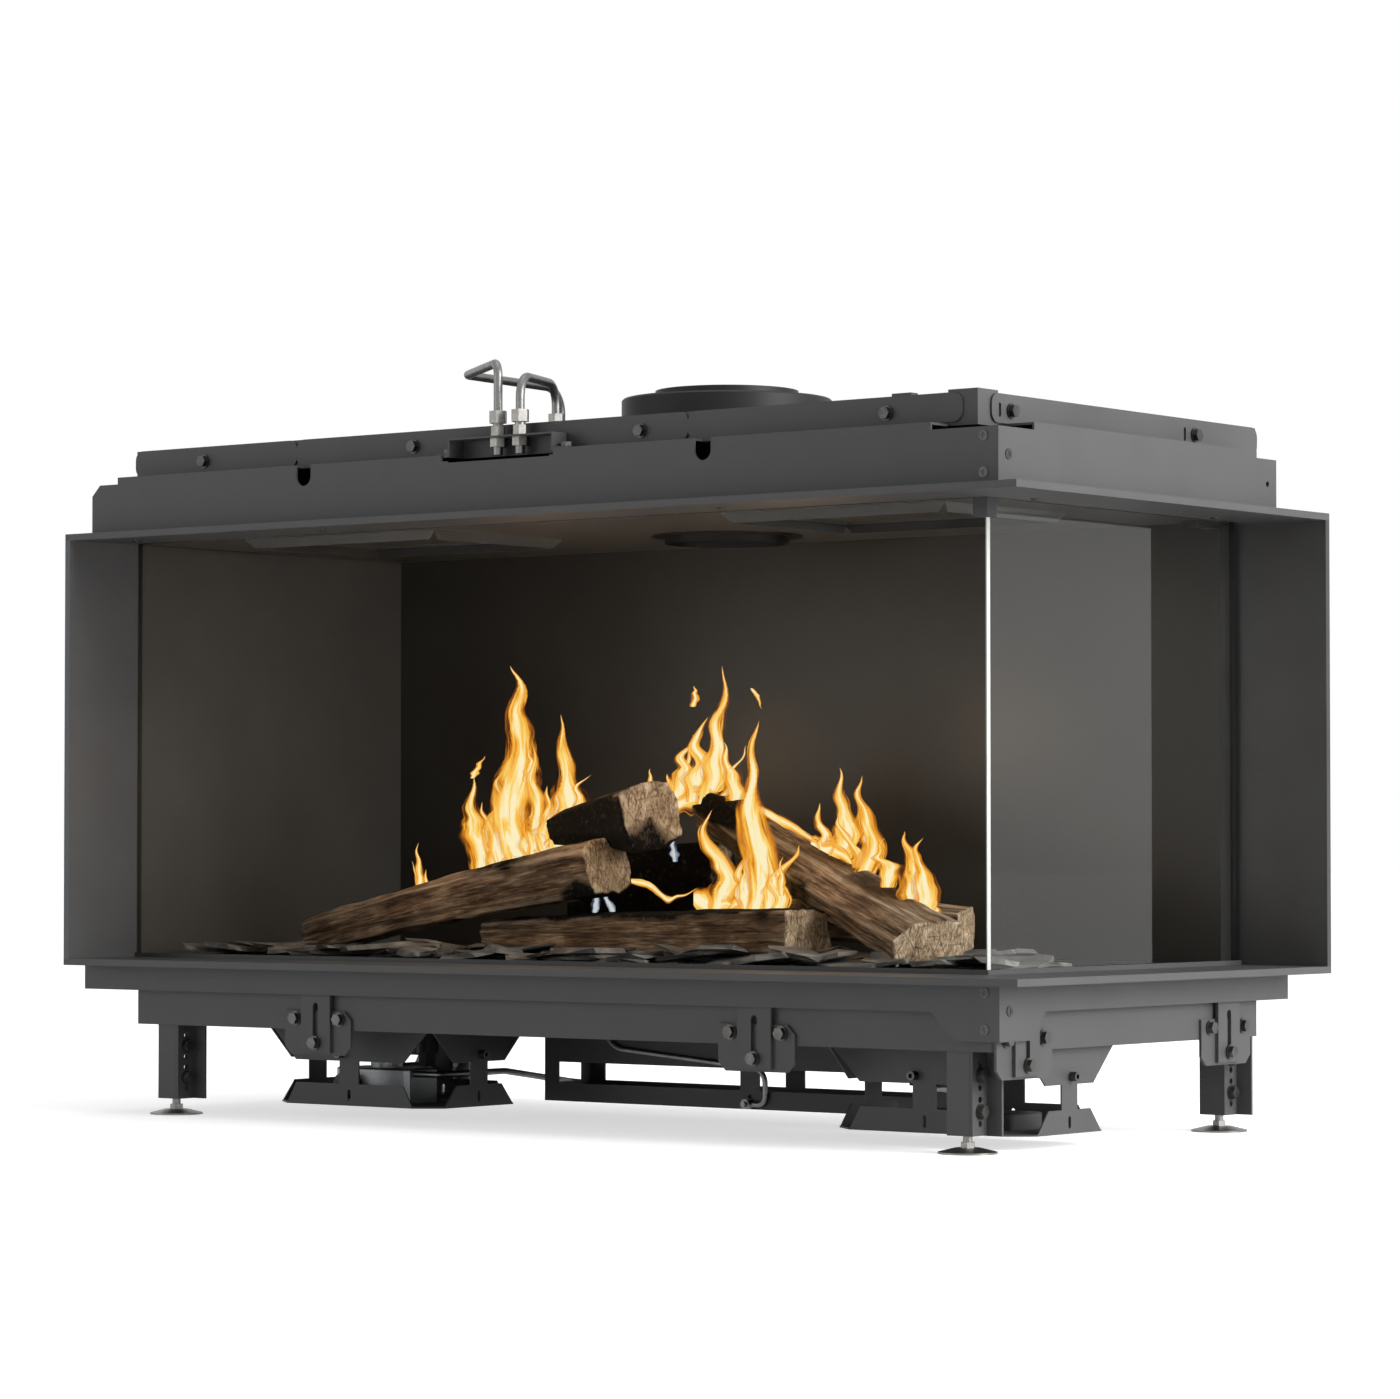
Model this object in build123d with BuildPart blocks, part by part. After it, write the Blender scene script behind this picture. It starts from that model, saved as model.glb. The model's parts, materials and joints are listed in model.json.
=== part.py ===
from build123d import *
import os
from math import cos, pi, sin

os.makedirs("parts", exist_ok=True)

# Corner gas fireplace. +X is right, +Y is back, +Z is up.
# The origin is on the floor, under the middle of the casing.

# Casing plates and walls
casing_width = 1098.0
casing_depth = 501.0
opening_height = 400.0
plate_edge = 6.2
plate_sheet = 4.7
wall = 6.4
under_height = 140.8
floor_sheet_thick = 2.0

# Glass, sills and guides
glass_front_setback = 92.0
glass_side_setback = 92.4
glass_thick = 5.0
glass_gap = 2.0
pane_end_gap = 1.0
pane_joint_gap = 0.5
side_pane_rear_gap = 5.6
pane_lift = 10.0
pane_tuck = 11.0
guide_headroom = 2.0
guide_sheet = 1.5
sill_sheet = 2.0
sill_lip = 1.5
sill_lip_height = 4.2
sill_reach = 3.0
clip_leg = 14.5
clip_sheet = 1.2
clip_drop = 16.0
clamp_width = 40.0
clamp_depth = 16.0
clamp_height = 6.0

# Chamber lining and burner pan
liner_gap = 18.3
liner_sheet = 2.0
pan_sheet = 1.5
pan_flange = 10.0
pan_recess = 3.5
fit_gap = 0.5

# Box below the base plate: apron, lapped corner and slot hangers
box_front_setback = 28.5
box_side_setback = 37.0
apron_height = 23.3
apron_sheet = 2.0
apron_rear_gap = 13.1
tail_width = 68.6
tail_taper = 22.0
tail_drop = 23.5
hanger_width = 36.0
hanger_sheet = 3.0
hanger_bottom = 64.2
hanger_slot_width = 6.6
hanger_slot_low = 70.0
hanger_slot_high = 107.0
hanger_bolt_height = 73.3
hanger_top_gap = 3.0
hanger_packing = 2.8
hanger_packing_height = 18.0
hanger_left_inset = 296.0
hanger_right_inset = 293.7
hanger_front_inset = 48.5
hanger_rear_inset = 106.0

# Plinth frame
lap_gap = 0.3
clamp_plate_width = 82.0
clamp_plate_sheet = 2.5
clamp_plate_top = 102.6
clamp_plate_bottom = 62.0
clamp_plate_chamfer = 8.0
clamp_bolt_spread = 54.6
clamp_bolt_height = 95.3
rail_sheet = 2.0
rail_bottom = 85.0
rail_top = 119.5
rail_lip = 9.0
rail_corner_return = 14.0
rail_corner_radius = 6.0
frame_left_inset = 61.2
frame_rear_inset = 50.1
gusset_sheet = 2.5
gusset_size = 52.0

# Telescopic legs and feet
leg_front_inset = 2.6
leg_rear_inset = 26.2
leg_left_inset = 50.8
leg_front_right_inset = 25.4
leg_rear_right_inset = 17.4
leg_sheet = 2.5
leg_flange = 26.0
leg_web = 23.0
leg_leaf = 15.2
leg_bottom = 15.0
leg_travel = 40.0
leg_hole_radius = 2.7
leg_hole_pitch = 10.0
leg_first_hole = 25.0
leg_hole_count = 6
leg_hole_back = 11.0
leg_bolt_low_hole = 1
leg_bolt_high_hole = 4
foot_stud_radius = 4.0
foot_clearance = 0.25
foot_stud_height = 58.0
foot_pad_radius = 25.0
foot_pad_rim = 1.6
foot_pad_dome = 5.0
foot_dome_radius = 11.0
foot_hex = 11.0
foot_hex_height = 4.6
foot_from_web = 12.4
foot_from_front = 10.8

# Box above the top plate: fascia, ledge, roof and rim strips
box_height = 54.3
box_low_height = 47.8
fascia_sheet = 2.0
fascia_left_inset = 7.4
fascia_chamfer = 10.4
fascia_step = 34.3
fascia_slit_inset = 68.0
fascia_side_slit = 53.0
fascia_side_end = 29.9
fascia_side_step = 33.7
fascia_hole_radius = 2.6
fascia_hole_inset = 15.3
fascia_hole_height = 25.3
notch_radius = 9.0
notch_depth = 19.6
notch_left_inset = 283.8
notch_right_inset = 345.5
pipe_cut_left_gap = 6.0
pipe_cut_right_gap = 3.0
pipe_cut_depth = 5.6
rim_front_setback = 25.0
rim_side_setback = 37.0
rim_left_inset = 41.0
rim_rear_inset = 1.5
rim_rise = 26.5
rim_strip_sheet = 2.0
rim_strip_lift = 1.5
rim_sheet = 1.5
rim_round = 9.0
strip_joint_left_share = 0.215
strip_joint_middle_share = 0.689
strip_right_gap = 15.0
strip_side_gap = 18.0
rim_screw_end = 91.5
rim_screw_count = 4
rim_screw_height = 12.6
side_screw_first = 46.0
side_screw_last = 107.0
side_slot_offset = 16.3
side_slot_width = 4.0
side_slot_height = 12.0
tab_sheet = 2.6
corner_tab = 30.0
front_tab_width = 20.0
front_tab_depth = 10.0
front_tab_inset = 68.0

# Screws
screw_radius = 3.0
screw_clearance = 0.05
flange_radius = 6.5
flange_height = 1.4
hex_across = 9.6
hex_height = 4.4
nut_height = 2.4
csk_radius = 4.6
csk_height = 0.7
csk_shank = 2.0
csk_inset = 14.8
csk_upper_low = 10.0
csk_upper_high = 40.4
csk_upper_side = 25.2
csk_lower_high = 6.5
csk_lower_low = 37.0
csk_lower_side = 21.6
cross_depth = 0.5
cross_width = 1.0
cross_length = 4.6
ceiling_screw_radius = 3.6
ceiling_screw_height = 1.6

# Pressure test point
bracket_width = 122.5
bracket_depth = 22.0
bracket_height = 14.9
bracket_sheet = 1.5
bracket_left_share = 0.418033
bracket_front_gap = 0.5
bracket_foot = 15.0
fitting_pitch = 26.0
fitting_first = 50.0
tube_radius = 4.0
test_spigot_radius = 4.4
test_spigot_height = 7.0
lock_nut_across = 13.0
lock_nut_height = 8.0
fitting_body_across = 11.5
fitting_body_height = 9.0
fitting_neck_radius = 4.8
fitting_neck_height = 3.0
fitting_nut_across = 14.5
fitting_nut_height = 11.0
long_tube_rise = 44.0
long_tube_side = 97.0
long_tube_back = 69.5
long_tube_end_side = 111.0
long_tube_end_back = 222.5
long_tube_bend = 13.0
long_tube_last_bend = 24.0
short_tube_rise = 31.0
short_tube_side = 31.0
short_tube_back = 87.5
short_tube_bend = 20.0
roof_nut_across = 13.0
roof_nut_height = 42.0

# Flue collar and ceiling
flue_across_share = 0.483607
flue_rear_inset = 150.5
collar_radius = 100.0
collar_sheet = 2.0
collar_height = 70.0
collar_bead = 1.6
inner_flue_radius = 68.0
inner_flue_sheet = 1.5
inner_flue_rise = 8.0
ceiling_sheet = 2.0
flue_hole_radius = 60.0
spigot_radius = 59.0
spigot_drop = 8.0
spigot_flange_radius = 72.0
restrictor_width = 34.0
hatch_left_share = 0.2277
hatch_right_share = 0.2459
hatch_front_share = 0.4122
hatch_width_share = 0.2195
hatch_depth_share = 0.3733
hatch_drop = 8.5
hatch_incline = 4.5
hatch_sheet = 1.4
hatch_corner_cut = 9.0
hatch_seat = 8.0
lid_overlap = 15.0
lid_sheet = 2.0
lid_lift = 12.0
stud_radius = 2.5
stud_hole_gap = 0.6
stud_head_radius = 5.0
stud_head_height = 4.0
stud_inset = 7.0
ceiling_margin = 36.0

# Hung cradles for the controls
cradle_sheet = 1.5
cradle_width = 205.0
cradle_depth = 135.0
cradle_left_inset = 281.5
cradle_right_inset = 159.7
cradle_front_inset = 163.0
cradle_floor = 12.0
cradle_low_top = 32.3
cradle_window_top = 53.6
cradle_neck = 24.0
cradle_corner_x = 23.5
cradle_corner_y = 18.5
cradle_low_taper_x = 12.0
cradle_low_taper_y = 17.0
cradle_high_reach_x = 35.0
cradle_high_reach_y = 31.0
cradle_slot_width = 4.0
cradle_slot_low = 16.4
cradle_slot_high = 27.0
stud_offset = 9.5
stud_side_offset = 2.0
stud_height = 60.3
allen_radius = 4.0
allen_length = 7.0
allen_socket = 4.0
allen_socket_depth = 3.0
long_cradle_left_inset = 377.0
long_cradle_right_inset = 255.0
long_cradle_front_inset = 266.5
long_cradle_depth = 71.0
long_cradle_floor = 13.0
long_cradle_low_top = 30.0
long_cradle_window_top = 50.0
long_cradle_end_neck = 17.0
long_cradle_mid_neck = 22.0
long_neck_shift = 12.0
long_hole_drop = 6.0
pin_radius = 1.5
pin_length = 3.0

# Gas controls
valve_length = 92.0
valve_depth = 46.0
valve_height = 32.0
valve_offset_x = -6.0
valve_offset_y = -8.0
valve_tower_radius = 15.0
valve_tower_height = 10.0
knob_radius = 12.5
knob_length = 13.0
knob_gap = 0.3
knob_stem_radius = 4.0
knob_stem_clearance = 0.05
knob_stem_length = 8.0
knob_ribs = 12
knob_rib_radius = 1.3
knob_pointer_width = 2.0
knob_pointer_share = 0.7
valve_chamfer = 4.0
mixing_tube_radius = 10.0
mixing_tube_low = 58.0
mixing_tube_turn = 105.0
mixing_tube_bend = 16.0
mixing_offset_y = 44.0
injector_across = 16.0
injector_length = 13.0
feed_radius = 3.0
feed_height = 24.0
feed_level = 41.0
feed_bend = 6.0
feed_offset_y = -20.0
inlet_radius = 6.0
supply_inset = 16.0
inlet_reach = 45.0
feed_side_inset = 35.0
feed_rear_gap = 10.0
feed_rear_level = 26.0
feed_dip_bend = 12.0
inlet_nut_across = 24.0
inlet_nut_length = 20.0
inlet_thread_length = 14.0
inlet_thread_radius = 8.3
receiver_width = 120.0
receiver_depth = 48.0
receiver_height = 14.0
receiver_gap = 8.0
receiver_round = 4.0
receiver_edge = 1.5
thin_tube_radius = 2.5
pilot_fitting_across = 9.0
pilot_fitting_length = 8.0
pilot_fitting_z = 18.0
pilot_fitting_tip = 3.0
pilot_rise_side = 169.0
pilot_high = 66.0
pilot_low = 50.0
pilot_turn_side = 20.0
pilot_first_bend = 24.0
pilot_bend = 14.0
pilot_end_bend = 8.0

# Burners
burner_height = 14.0
burner_depth = 66.0
burner_front_inset = 302.5
burner_length_share = 0.2823
burner_left_share = 0.327
burner_right_share = 0.347
burner_feed_offset = 84.3
port_width = 3.0
port_length = 12.0
port_end_gap = 23.0
port_row_pitch = 30.0
port_count = 12
port_depth = 3.0
pilot_front_offset = 18.0
pilot_hood_radius = 7.0
pilot_height = 22.0
pilot_base = 16.0
electrode_radius = 1.5
electrode_height = 20.0
pilot_plate_length = 28.0
pilot_plate_width = 12.0
pilot_body_share = 0.8

# Logs: share of the width from the middle, distance behind the burners' middle line, height over the sill,
# half width and half height, at the one end and at the other
log_front_ends = ((-0.195, -61.0, 21.0, 17.0, 15.5), (0.184, -120.0, 29.0, 29.0, 23.0))
log_left_ends = ((-0.424, -38.0, 17.5, 17.0, 16.0), (-0.041, -97.0, 89.0, 27.0, 26.0))
log_top_ends = ((-0.1475, -20.0, 123.5, 17.0, 14.0), (0.0036, -97.0, 135.0, 31.0, 31.0))
log_right_ends = ((-0.022, 36.0, 145.0, 22.0, 20.0), (0.308, -126.0, 23.5, 32.0, 18.5))
log_far_ends = ((0.114, -46.0, 42.0, 20.0, 18.0), (0.308, 6.0, 28.0, 26.0, 21.0))
log_back_ends = ((-0.1566, 20.0, 56.0, 26.0, 48.0), (-0.0073, 32.0, 61.0, 26.0, 52.0))
log_facets = 9
log_radius_shares = (1.0, 0.93, 1.0, 0.9, 0.97, 1.0, 0.92, 0.99, 0.94)

# Slate chips
chip_cell_x = 58.0
chip_cell_y = 40.0
chip_thick = 7.0
chip_size_share = 0.44
chip_round_shares = (1.0, 0.8, 0.95, 0.75, 0.9)
chip_height_shares = (1.0, 0.75, 1.25, 0.9, 1.1)
chip_bed = 6.0
chip_edge = 3.0
chip_burner_gap = 6.0

overrun = 5.0

# Levels and planes that follow
x_left = -casing_width / 2
x_right = casing_width / 2
y_front = -casing_depth / 2
y_back = casing_depth / 2
z_base = under_height
z_sill = z_base + plate_edge
z_head = z_sill + opening_height
z_top = z_head + plate_edge
z_ceiling = z_top - plate_sheet
chamber_left = x_left + wall
chamber_back = y_back - wall
glass_y = y_front + glass_front_setback
glass_y_in = glass_y + glass_thick
glass_x = x_right - glass_side_setback
glass_x_in = glass_x - glass_thick
slot_y = glass_y - glass_gap
slot_x = glass_x + glass_gap
inner_y = glass_y_in + glass_gap
inner_x = glass_x_in - glass_gap
y_liner = chamber_back - liner_gap
liner_end = inner_x - fit_gap
pane_bottom = z_sill + sill_sheet
pane_top = z_head + pane_tuck
box_y = y_front + box_front_setback
box_x = x_right - box_side_setback
z_apron = z_base - apron_height
apron_rear = y_back - apron_rear_gap
z_tail = z_apron - tail_drop
hanger_y = box_y + apron_sheet
hanger_x = box_x - apron_sheet
hang_y = hanger_y + hanger_packing
hang_x = hanger_x - hanger_packing
clamp_y = hang_y + hanger_sheet + lap_gap
clamp_x = hang_x - hanger_sheet - lap_gap
frame_y = clamp_y + clamp_plate_sheet
frame_x = clamp_x - clamp_plate_sheet
frame_left = x_left + frame_left_inset
frame_rear = y_back - frame_rear_inset
z_box = z_top + box_height
z_box_low = z_top + box_low_height
fascia_left = x_left + fascia_left_inset
fascia_rear = y_back - fascia_side_end
rim_y = box_y + rim_front_setback
rim_x = box_x - rim_side_setback
roof_y = rim_y + rim_strip_sheet
roof_x = rim_x - rim_strip_sheet
roof_left = x_left + rim_left_inset
roof_rear = y_back - rim_rear_inset
z_strip = z_box + rim_strip_lift
z_rim = z_box + rim_rise
z_floor_sheet = z_base - floor_sheet_thick
notch_left_x = x_left + notch_left_inset
notch_right_x = x_right - notch_right_inset
bracket_left_x = x_left + bracket_left_share * casing_width
flue_x = x_left + flue_across_share * casing_width
flue_y = y_back - flue_rear_inset
hatch_left_x = x_left + hatch_left_share * casing_width
hatch_right_x = x_right - hatch_right_share * casing_width
hatch_y = y_front + hatch_front_share * casing_depth
hatch_width = hatch_width_share * casing_width
hatch_depth = hatch_depth_share * casing_depth
cradle_left_x = x_left + cradle_left_inset
cradle_right_x = x_right - cradle_right_inset
cradle_y = y_front + cradle_front_inset
long_cradle_left_x = x_left + long_cradle_left_inset
long_cradle_right_x = x_right - long_cradle_right_inset
long_cradle_front_y = y_front + long_cradle_front_inset
burner_y = y_front + burner_front_inset
burner_length = burner_length_share * casing_width
burner_left_x = x_left + burner_left_share * casing_width
burner_right_x = x_right - burner_right_share * casing_width
burner_feed_left_x = cradle_left_x
burner_feed_right_x = cradle_right_x - burner_feed_offset
inlet_end_y = cradle_y + cradle_depth / 2 + inlet_reach


def facing_front(y, x=0, z=0):
    """Work plane seen from the front: local x is +X, local y is +Z, normal towards the viewer."""
    return Plane(origin=(x, y, z), x_dir=(1, 0, 0), z_dir=(0, -1, 0))


def facing_right(x, y=0, z=0):
    """Work plane seen from the right: local x is +Y, local y is +Z, normal towards +X."""
    return Plane(origin=(x, y, z), x_dir=(0, 1, 0), z_dir=(1, 0, 0))


def facing_up(z, x=0, y=0):
    """Level work plane with its normal upwards."""
    return Plane(origin=(x, y, z), x_dir=(1, 0, 0), z_dir=(0, 0, 1))


def facing_down(z, x=0, y=0):
    """Level work plane with its normal downwards."""
    return Plane(origin=(x, y, z), x_dir=(1, 0, 0), z_dir=(0, 0, -1))


def block(x0, x1, y0, y1, z0, z1, mode=Mode.ADD):
    """Box between two corners, added to the sub-part being built."""
    with BuildSketch(Plane.XY.offset(z0)) as base:
        with Locations(((x0 + x1) / 2, (y0 + y1) / 2)):
            Rectangle(x1 - x0, y1 - y0)
    extrude(base.sketch, amount=z1 - z0, mode=mode)


def plate(plane, outline, thick, mode=Mode.ADD):
    """Sheet of the given outline, its face on the plane and its thickness behind it."""
    with BuildSketch(plane) as face:
        with BuildLine():
            Polyline(*outline, close=True)
        make_face()
    extrude(face.sketch, amount=-thick, mode=mode)


def rod(plane, radius, length, mode=Mode.ADD):
    """Round bar or bore that starts on the plane and runs along its normal."""
    with BuildSketch(plane) as face:
        Circle(radius)
    extrude(face.sketch, amount=length, mode=mode)


def hexagon(plane, across, length):
    """Hexagonal bar that starts on the plane and runs along its normal."""
    with BuildSketch(plane) as face:
        RegularPolygon(across / 2, 6, major_radius=False)
    extrude(face.sketch, amount=length)


def drill(plane, radius, depth):
    """Bore through a sheet whose face is on the plane."""
    rod(plane.offset(overrun), radius, -depth - 2 * overrun, mode=Mode.SUBTRACT)


def flange_screw(plane, grip):
    """Hex flange screw whose flange bears on the plane, with a shank of length grip behind it."""
    rod(plane, flange_radius, flange_height)
    hexagon(plane.offset(flange_height), hex_across, hex_height)
    rod(plane, screw_radius, -grip)


def cross_screw(plane, grip):
    """Countersunk-style screw head with a cross recess, bearing on the plane."""
    rod(plane, csk_radius, csk_height)
    rod(plane, csk_shank, -grip)
    with BuildSketch(plane.offset(csk_height)) as cross:
        Rectangle(cross_length, cross_width)
        Rectangle(cross_width, cross_length)
    extrude(cross.sketch, amount=-cross_depth, mode=Mode.SUBTRACT)


def tube(points, bends, radius):
    """Solid round pipe along straight runs joined by arcs."""
    with BuildLine() as route:
        FilletPolyline(*points, radius=bends)
    start = route.wire() @ 0
    heading = route.wire() % 0
    with BuildSketch(Plane(origin=start, z_dir=heading)) as section:
        Circle(radius)
    sweep(section.sketch, path=route.wire())


def save(piece, name):
    """Name the finished sub-part and write it."""
    piece.part.label = name
    export_step(piece.part, f"parts/{name}.step")


# Base plate: trim frame under the opening, cut out for the burner pan
well_x0 = chamber_left + pan_flange
well_x1 = inner_x - pan_flange
well_y0 = inner_y + pan_flange
well_y1 = y_liner - pan_flange
with BuildPart() as base_plate:
    block(x_left, x_right, y_front, y_back, z_base, z_sill)
    block(well_x0, well_x1, well_y0, well_y1, z_base - overrun, z_sill + overrun, Mode.SUBTRACT)
save(base_plate, "base_plate")

# Top plate: trim frame over the opening, with a shallow rim turned down all round
with BuildPart() as top_plate:
    block(x_left, x_right, y_front, y_back, z_head, z_top)
    block(x_left + wall, x_right - wall, y_front + wall, y_back - wall, z_head, z_ceiling, Mode.SUBTRACT)
    block(chamber_left, slot_x, slot_y, chamber_back, z_head, z_top + overrun, Mode.SUBTRACT)
save(top_plate, "top_plate")

# Side and rear walls with their projecting edges
with BuildPart() as left_wall:
    block(x_left, chamber_left, y_front, y_back, z_sill, z_head)
save(left_wall, "left_wall")

with BuildPart() as back_wall:
    block(chamber_left, x_right, chamber_back, y_back, z_sill, z_head)
save(back_wall, "back_wall")

# Rear lining of the chamber, returned to the back wall beside the glass
with BuildPart() as back_liner:
    block(chamber_left, liner_end, y_liner, y_liner + liner_sheet, z_sill, z_ceiling)
    block(liner_end - liner_sheet, liner_end, y_liner, chamber_back, z_sill, z_head)
save(back_liner, "back_liner")

# Floor sheet under the base plate, which carries the cradles
feed_xs = (burner_feed_left_x, burner_feed_right_x)
mixing_y = cradle_y + mixing_offset_y
burner_front = burner_y - burner_depth / 2
burner_rear = burner_y + burner_depth / 2
riser_y = burner_y
with BuildPart() as floor_sheet:
    block(x_left + apron_sheet, hanger_x, hanger_y, apron_rear - apron_sheet, z_floor_sheet, z_base)
    for x in feed_xs:
        drill(facing_up(z_base, x, riser_y), mixing_tube_radius + fit_gap, floor_sheet_thick)
save(floor_sheet, "floor_sheet")

# Burner pan: flanged tray that drops into the base plate
pan_top = z_sill + pan_sheet
pan_floor = z_sill - pan_recess
with BuildPart() as burner_pan:
    block(chamber_left, inner_x, inner_y, y_liner, z_sill, pan_top)
    block(
        well_x0 + fit_gap,
        well_x1 - fit_gap,
        well_y0 + fit_gap,
        well_y1 - fit_gap,
        pan_floor - pan_sheet,
        z_sill,
    )
    block(
        well_x0 + fit_gap + pan_sheet,
        well_x1 - fit_gap - pan_sheet,
        well_y0 + fit_gap + pan_sheet,
        well_y1 - fit_gap - pan_sheet,
        pan_floor,
        pan_top + overrun,
        Mode.SUBTRACT,
    )
    for x in feed_xs:
        drill(facing_up(pan_floor, x, riser_y), mixing_tube_radius + fit_gap, pan_sheet)
save(burner_pan, "burner_pan")

# Glass panes: the front pane covers the front edge of the side pane
with BuildPart() as front_glass:
    block(chamber_left + pane_end_gap, glass_x, glass_y, glass_y_in, pane_bottom, pane_top)
save(front_glass, "front_glass")

with BuildPart() as side_glass:
    block(
        glass_x_in,
        glass_x,
        glass_y_in + pane_joint_gap,
        chamber_back - side_pane_rear_gap,
        pane_bottom,
        pane_top,
    )
save(side_glass, "side_glass")

# Sills: low rails with an outer lip that the panes stand in
sill_y0 = glass_y - sill_reach
sill_x1 = glass_x + sill_reach
sill_y1 = glass_y_in + glass_gap - fit_gap
lip_top = pane_bottom + sill_lip_height - sill_sheet
with BuildPart() as glass_sills:
    block(chamber_left, sill_x1, sill_y0, sill_y1, z_sill, pane_bottom)
    block(inner_x + fit_gap, sill_x1, sill_y1, chamber_back, z_sill, pane_bottom)
    block(chamber_left, sill_x1, sill_y0, sill_y0 + sill_lip, pane_bottom, lip_top)
    block(sill_x1 - sill_lip, sill_x1, sill_y0, chamber_back, pane_bottom, lip_top)
save(glass_sills, "glass_sills")

# Guides above the ceiling: inverted channels into which the panes lift
guide_top = pane_top + pane_lift + guide_headroom
guide_roof = guide_top + guide_sheet
guide_y0 = slot_y - guide_sheet
guide_y1 = inner_y + guide_sheet
guide_x0 = inner_x - guide_sheet
guide_x1 = slot_x + guide_sheet
ceiling_top = z_ceiling + ceiling_sheet
with BuildPart() as glass_guides:
    block(chamber_left, guide_x1, guide_y0, slot_y, z_top, guide_top)
    block(slot_x, guide_x1, slot_y, chamber_back, z_top, guide_top)
    block(chamber_left, inner_x, inner_y, guide_y1, ceiling_top, guide_top)
    block(guide_x0, inner_x, guide_y1, chamber_back, ceiling_top, guide_top)
    block(chamber_left, guide_x1, guide_y0, guide_y1, guide_top, guide_roof)
    block(guide_x0, guide_x1, guide_y1, chamber_back, guide_top, guide_roof)
save(glass_guides, "glass_guides")

# Clips: bright angle outside both panes at the corner, clamp at the rear of the side pane
with BuildPart() as glass_clips:
    block(slot_x - clip_leg, slot_x, slot_y, slot_y + clip_sheet, z_head - clip_drop, z_top)
    block(slot_x - clip_sheet, slot_x, slot_y, slot_y + clip_leg, z_head - clip_drop, z_top)
    block(
        inner_x - clamp_depth,
        inner_x,
        y_liner - clamp_width,
        y_liner,
        z_ceiling - clamp_height,
        z_ceiling,
    )
    clamp_edge = glass_clips.edges().filter_by(Axis.Y)
    clamp_corner = (inner_x - clamp_depth, y_liner, z_ceiling - clamp_height)
    chamfer(clamp_edge.sort_by_distance(clamp_corner)[0], clamp_height / 2)
save(glass_clips, "glass_clips")

# Ceiling panel with two hatch openings and the flue opening
hatch_xs = (hatch_left_x, hatch_right_x)
hatch_open_x = hatch_width / 2 - hatch_seat
hatch_open_y = hatch_depth / 2 - hatch_seat
stud_x = hatch_width / 2 + lid_overlap - stud_inset
stud_y = hatch_depth / 2 + lid_overlap / 2 - stud_inset
stud_places = [(sx * stud_x, sy * stud_y) for sx in (-1, 1) for sy in (-1, 1)]
stop_height = lid_sheet + lid_lift + lap_gap
with BuildPart() as ceiling_panel:
    block(chamber_left, inner_x, inner_y, chamber_back, z_ceiling, ceiling_top)
    for x in hatch_xs:
        block(
            x - hatch_open_x,
            x + hatch_open_x,
            hatch_y - hatch_open_y,
            hatch_y + hatch_open_y,
            z_ceiling - overrun,
            ceiling_top + overrun,
            Mode.SUBTRACT,
        )
        for dx, dy in stud_places:
            foot = facing_up(ceiling_top, x + dx, hatch_y + dy)
            rod(foot, stud_radius, stop_height)
            rod(foot.offset(stop_height), stud_head_radius, stud_head_height)
    drill(facing_up(ceiling_top, flue_x, flue_y), flue_hole_radius, ceiling_sheet)
save(ceiling_panel, "ceiling_panel")


def hatch_frame(centre_x):
    """Four inclined flanges below a hatch, open at the corners, as one folded frame."""
    wide = Plane.XY.offset(z_ceiling)
    narrow = Plane.XY.offset(z_ceiling - hatch_drop)
    for shrink, mode in ((0, Mode.ADD), (hatch_sheet, Mode.SUBTRACT)):
        with BuildSketch(wide) as top_outline:
            with Locations((centre_x, hatch_y)):
                Rectangle(hatch_width - 2 * shrink, hatch_depth - 2 * shrink)
        with BuildSketch(narrow) as low_outline:
            with Locations((centre_x, hatch_y)):
                Rectangle(
                    hatch_width - 2 * hatch_incline - 2 * shrink,
                    hatch_depth - 2 * hatch_incline - 2 * shrink,
                )
        loft([top_outline.sketch.faces()[0], low_outline.sketch.faces()[0]], ruled=True, mode=mode)
    for side_x in (-1, 1):
        for side_y in (-1, 1):
            corner = (centre_x + side_x * hatch_width / 2, hatch_y + side_y * hatch_depth / 2)
            notch = Plane(
                origin=(corner[0], corner[1], z_ceiling - hatch_sheet),
                x_dir=(side_x, -side_y, 0),
                z_dir=(side_x, side_y, 0),
            )
            flip = side_x * side_y
            with BuildSketch(notch) as vee:
                with BuildLine():
                    Polyline(
                        (0, 0),
                        (hatch_corner_cut, flip * 2 * hatch_drop),
                        (-hatch_corner_cut, flip * 2 * hatch_drop),
                        close=True,
                    )
                make_face()
            extrude(vee.sketch, amount=2 * hatch_corner_cut, both=True, mode=Mode.SUBTRACT)


# Frames with inclined flanges under the two relief hatches
with BuildPart() as relief_frames:
    for x in hatch_xs:
        hatch_frame(x)
save(relief_frames, "relief_frames")

# Relief hatch lids that rest over the openings, guided by studs
lid_half_x = hatch_width / 2 + lid_overlap
lid_half_y = hatch_depth / 2 + lid_overlap / 2
for x, side in ((hatch_left_x, "left"), (hatch_right_x, "right")):
    with BuildPart() as relief_lid:
        block(
            x - lid_half_x,
            x + lid_half_x,
            hatch_y - lid_half_y,
            hatch_y + lid_half_y,
            ceiling_top,
            ceiling_top + lid_sheet,
        )
        for dx, dy in stud_places:
            drill(facing_up(ceiling_top, x + dx, hatch_y + dy), stud_radius + stud_hole_gap, lid_sheet)
    save(relief_lid, f"relief_lid_{side}")

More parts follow.
